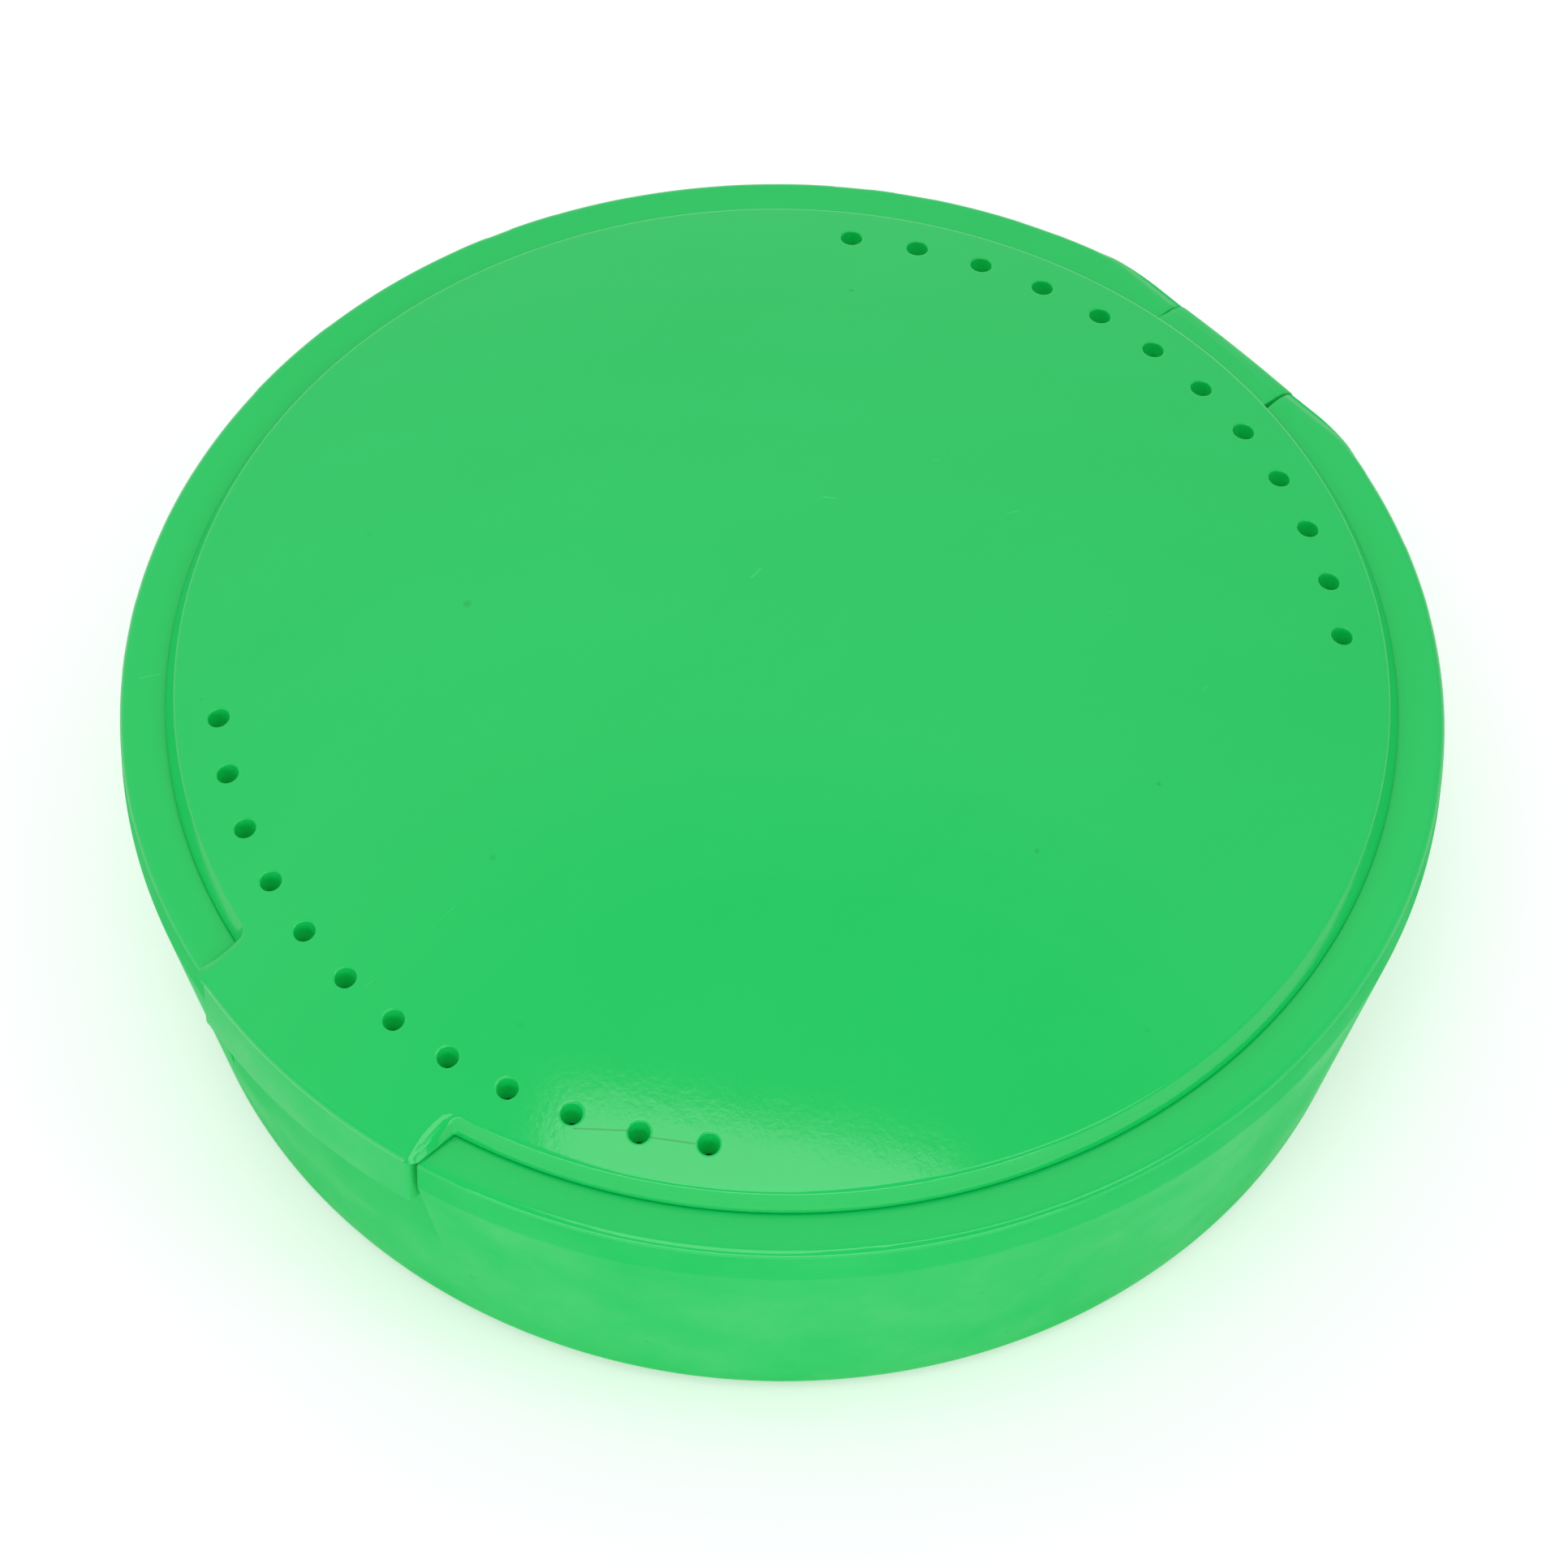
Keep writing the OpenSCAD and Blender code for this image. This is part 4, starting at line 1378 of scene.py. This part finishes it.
# Floor and walls: a radius, two greys, and the reaches over which the walls change: from white to
# grey, from grey to the ceiling, and to the right and the near side
FLOOR_R = 0.7
FLOOR_GREY = (0.925, 0.925, 0.925, 1)
FLOOR_PALE = (0.94, 0.94, 0.94, 1)
WHITE = (1, 1, 1, 1)
WHITE_UP_TO = (0.15, 0.3)
CEILING_FROM = (0.86, 0.945)
FAR_SIDE = (0.05, 0.5)
NEAR_SIDE = (-0.1, 0.45)

# Lamps, in metres: the softbox over the case, the broad light in front and the strip at the right
KEY_SKEW = math.radians(10.8)
KEY_SHIFT = (-0.0075, -0.0115)
KEY_SIZE = (0.255, 0.5)
KEY_Z = 0.6
FRONT_SIZE = (1.5, 0.2)
FRONT_AWAY = 0.85
FRONT_Z = 0.22
FRONT_TARGET = (0, 0, 0.01)
STRIP_SIZE = (0.72, 0.22)
STRIP_PLACE = (0.51, 0.125, 0.845)
STRIP_SLANT = (0.825, 0.286, -0.485)
STRIP_TARGET = (0, 0, 0.02)


def picture_axes(studio):
    """Level directions to the picture's right and towards the camera."""
    a = studio.azimuth
    return Vector((math.cos(a), math.sin(a), 0)), Vector((math.sin(a), -math.cos(a), 0))


def set_camera(context, studio):
    """The photograph's camera: a long lens looking down on the case."""
    level, near = picture_axes(studio)
    away = math.cos(studio.elevation) * near + Vector((0, 0, math.sin(studio.elevation)))
    rise = level.cross(-away)
    right = math.cos(studio.roll) * level + math.sin(studio.roll) * rise
    up = -math.sin(studio.roll) * level + math.cos(studio.roll) * rise
    aim = Vector((-context.scene.case_lid.play, 0, AIM_Z)) + AIM_RIGHT * right - AIM_DOWN * up
    camera = bpy.data.objects.new("camera", bpy.data.cameras.new("camera"))
    context.scene.collection.objects.link(camera)
    camera.data.sensor_width = SENSOR_W
    camera.data.lens = studio.lens
    camera.data.clip_start, camera.data.clip_end = CAMERA_RANGE
    turn = Matrix((right, up, away)).transposed().to_4x4()
    camera.matrix_world = Matrix.Translation(aim + away * studio.distance) @ turn
    context.scene.camera = camera


def seen_rays(tree):
    """One for rays from the camera, mirrors and glass, and nothing for other rays."""
    path = tree.nodes.new("ShaderNodeLightPath")
    names = ("Is Camera Ray", "Is Glossy Ray", "Is Transmission Ray")
    return largest(tree, [path.outputs[name] for name in names])


def set_floor(studio):
    """A pale floor that looks white and keeps the shadow."""
    bpy.ops.object.select_all(action="DESELECT")
    bpy.ops.mesh.primitive_circle_add(vertices=128, radius=FLOOR_R, fill_type="NGON")
    floor = bpy.context.object
    floor.name = "floor"
    material, tree, shader, place = nodes_of("floor_white")
    paper = spread(tree, noise(tree, place, 40, 3), 0.3, 0.7)
    tree.links.new(tint(tree, paper, FLOOR_GREY, FLOOR_PALE), shader.inputs["Base Color"])
    shader.inputs["Roughness"].default_value = 0.9
    shader.inputs["Specular IOR Level"].default_value = 0.1
    shader.inputs["Emission Color"].default_value = WHITE
    lift = spread(tree, seen_rays(tree), 0, 1, 0, studio.floor_lift)
    tree.links.new(lift, shader.inputs["Emission Strength"])
    dress(floor, material)


def set_walls(context, studio):
    """Pale studio walls with a darker ceiling. Their foot is seen as white."""
    world = bpy.data.worlds.new("studio")
    context.scene.world = world
    world.use_nodes = True
    tree = world.node_tree
    background = tree.nodes["Background"]
    background.inputs["Color"].default_value = WHITE
    way = tree.nodes.new("ShaderNodeTexCoord").outputs["Generated"]
    height = height_of(tree, way)
    right, near = picture_axes(studio)
    level = spread(tree, height, *CEILING_FROM, studio.walls, studio.walls * studio.ceiling)
    sides = (right, FAR_SIDE, studio.far_side), (near, NEAR_SIDE, studio.near_side)
    for aim, reach, share in sides:
        across = vectors(tree, "DOT_PRODUCT", way, aim, "Value")
        level = times(tree, level, spread(tree, across, *reach, 1, share))
    white = times(tree, seen_rays(tree), spread(tree, height, *WHITE_UP_TO, 1, 0))
    tree.links.new(largest(tree, [white, level]), background.inputs["Strength"])


def softbox(context, name, power, size, place, target, across):
    """A rectangular lamp that faces a target, with its long side along a direction."""
    lamp = bpy.data.lights.new(name, "AREA")
    lamp.shape = "RECTANGLE"
    lamp.size, lamp.size_y = size
    lamp.energy = power
    box = bpy.data.objects.new(name, lamp)
    context.scene.collection.objects.link(box)
    back = (Vector(place) - Vector(target)).normalized()
    side = (Vector(across) - Vector(across).dot(back) * back).normalized()
    turn = Matrix((side, back.cross(side), back)).transposed().to_4x4()
    box.matrix_world = Matrix.Translation(place) @ turn


def set_lights(context, studio):
    """A softbox over the case, a broad light from the camera's side and a strip at the right."""
    right, near = picture_axes(studio)
    along = math.cos(KEY_SKEW) * right + math.sin(KEY_SKEW) * near
    depth = math.cos(KEY_SKEW) * near - math.sin(KEY_SKEW) * right
    middle = KEY_SHIFT[0] * right + KEY_SHIFT[1] * near + KEY_SIZE[1] / 2 * depth
    place = middle + Vector((0, 0, KEY_Z))
    softbox(context, "softbox", studio.key, KEY_SIZE, place, middle, along)
    place = FRONT_AWAY * near + Vector((0, 0, FRONT_Z))
    softbox(context, "front_light", studio.front, FRONT_SIZE, place, FRONT_TARGET, right)
    place = Vector(STRIP_PLACE)
    softbox(context, "side_light", studio.side, STRIP_SIZE, place, STRIP_TARGET, STRIP_SLANT)


class CASE_PT_panel(bpy.types.Panel):
    """Lists the pieces of the case"""

    bl_idname = "CASE_PT_panel"
    bl_label = "Retainer case"
    bl_space_type = "VIEW_3D"
    bl_region_type = "UI"
    bl_category = "Retainer case"

    def draw(self, context):
        for group in GROUPS:
            settings = getattr(context.scene, group)
            box = self.layout.box()
            for name in settings.__annotations__:
                box.prop(settings, name)
        for operator in OPERATORS:
            self.layout.operator(operator.bl_idname)


GROUPS = {
    "case_bowl": BowlSizes,
    "case_lid": LidSizes,
    "case_finish": Finish,
    "case_studio": Studio,
}
OPERATORS = (CASE_OT_bowl, CASE_OT_lid, CASE_OT_pin, CASE_OT_stage)
CLASSES = (*GROUPS.values(), *OPERATORS, CASE_PT_panel)


def register():
    """Adds the classes, and the settings to the scene."""
    for kind in CLASSES:
        bpy.utils.register_class(kind)
    for name, kind in GROUPS.items():
        setattr(bpy.types.Scene, name, bpy.props.PointerProperty(type=kind))


def unregister():
    """Takes the settings and the classes away again."""
    for name in GROUPS:
        delattr(bpy.types.Scene, name)
    for kind in reversed(CLASSES):
        bpy.utils.unregister_class(kind)


def main():
    """Makes the case and its stage."""
    register()
    bpy.ops.retainer_case.bowl()
    bpy.ops.retainer_case.lid()
    bpy.ops.retainer_case.pin()
    bpy.ops.retainer_case.stage()


if __name__ == "__main__":
    main()
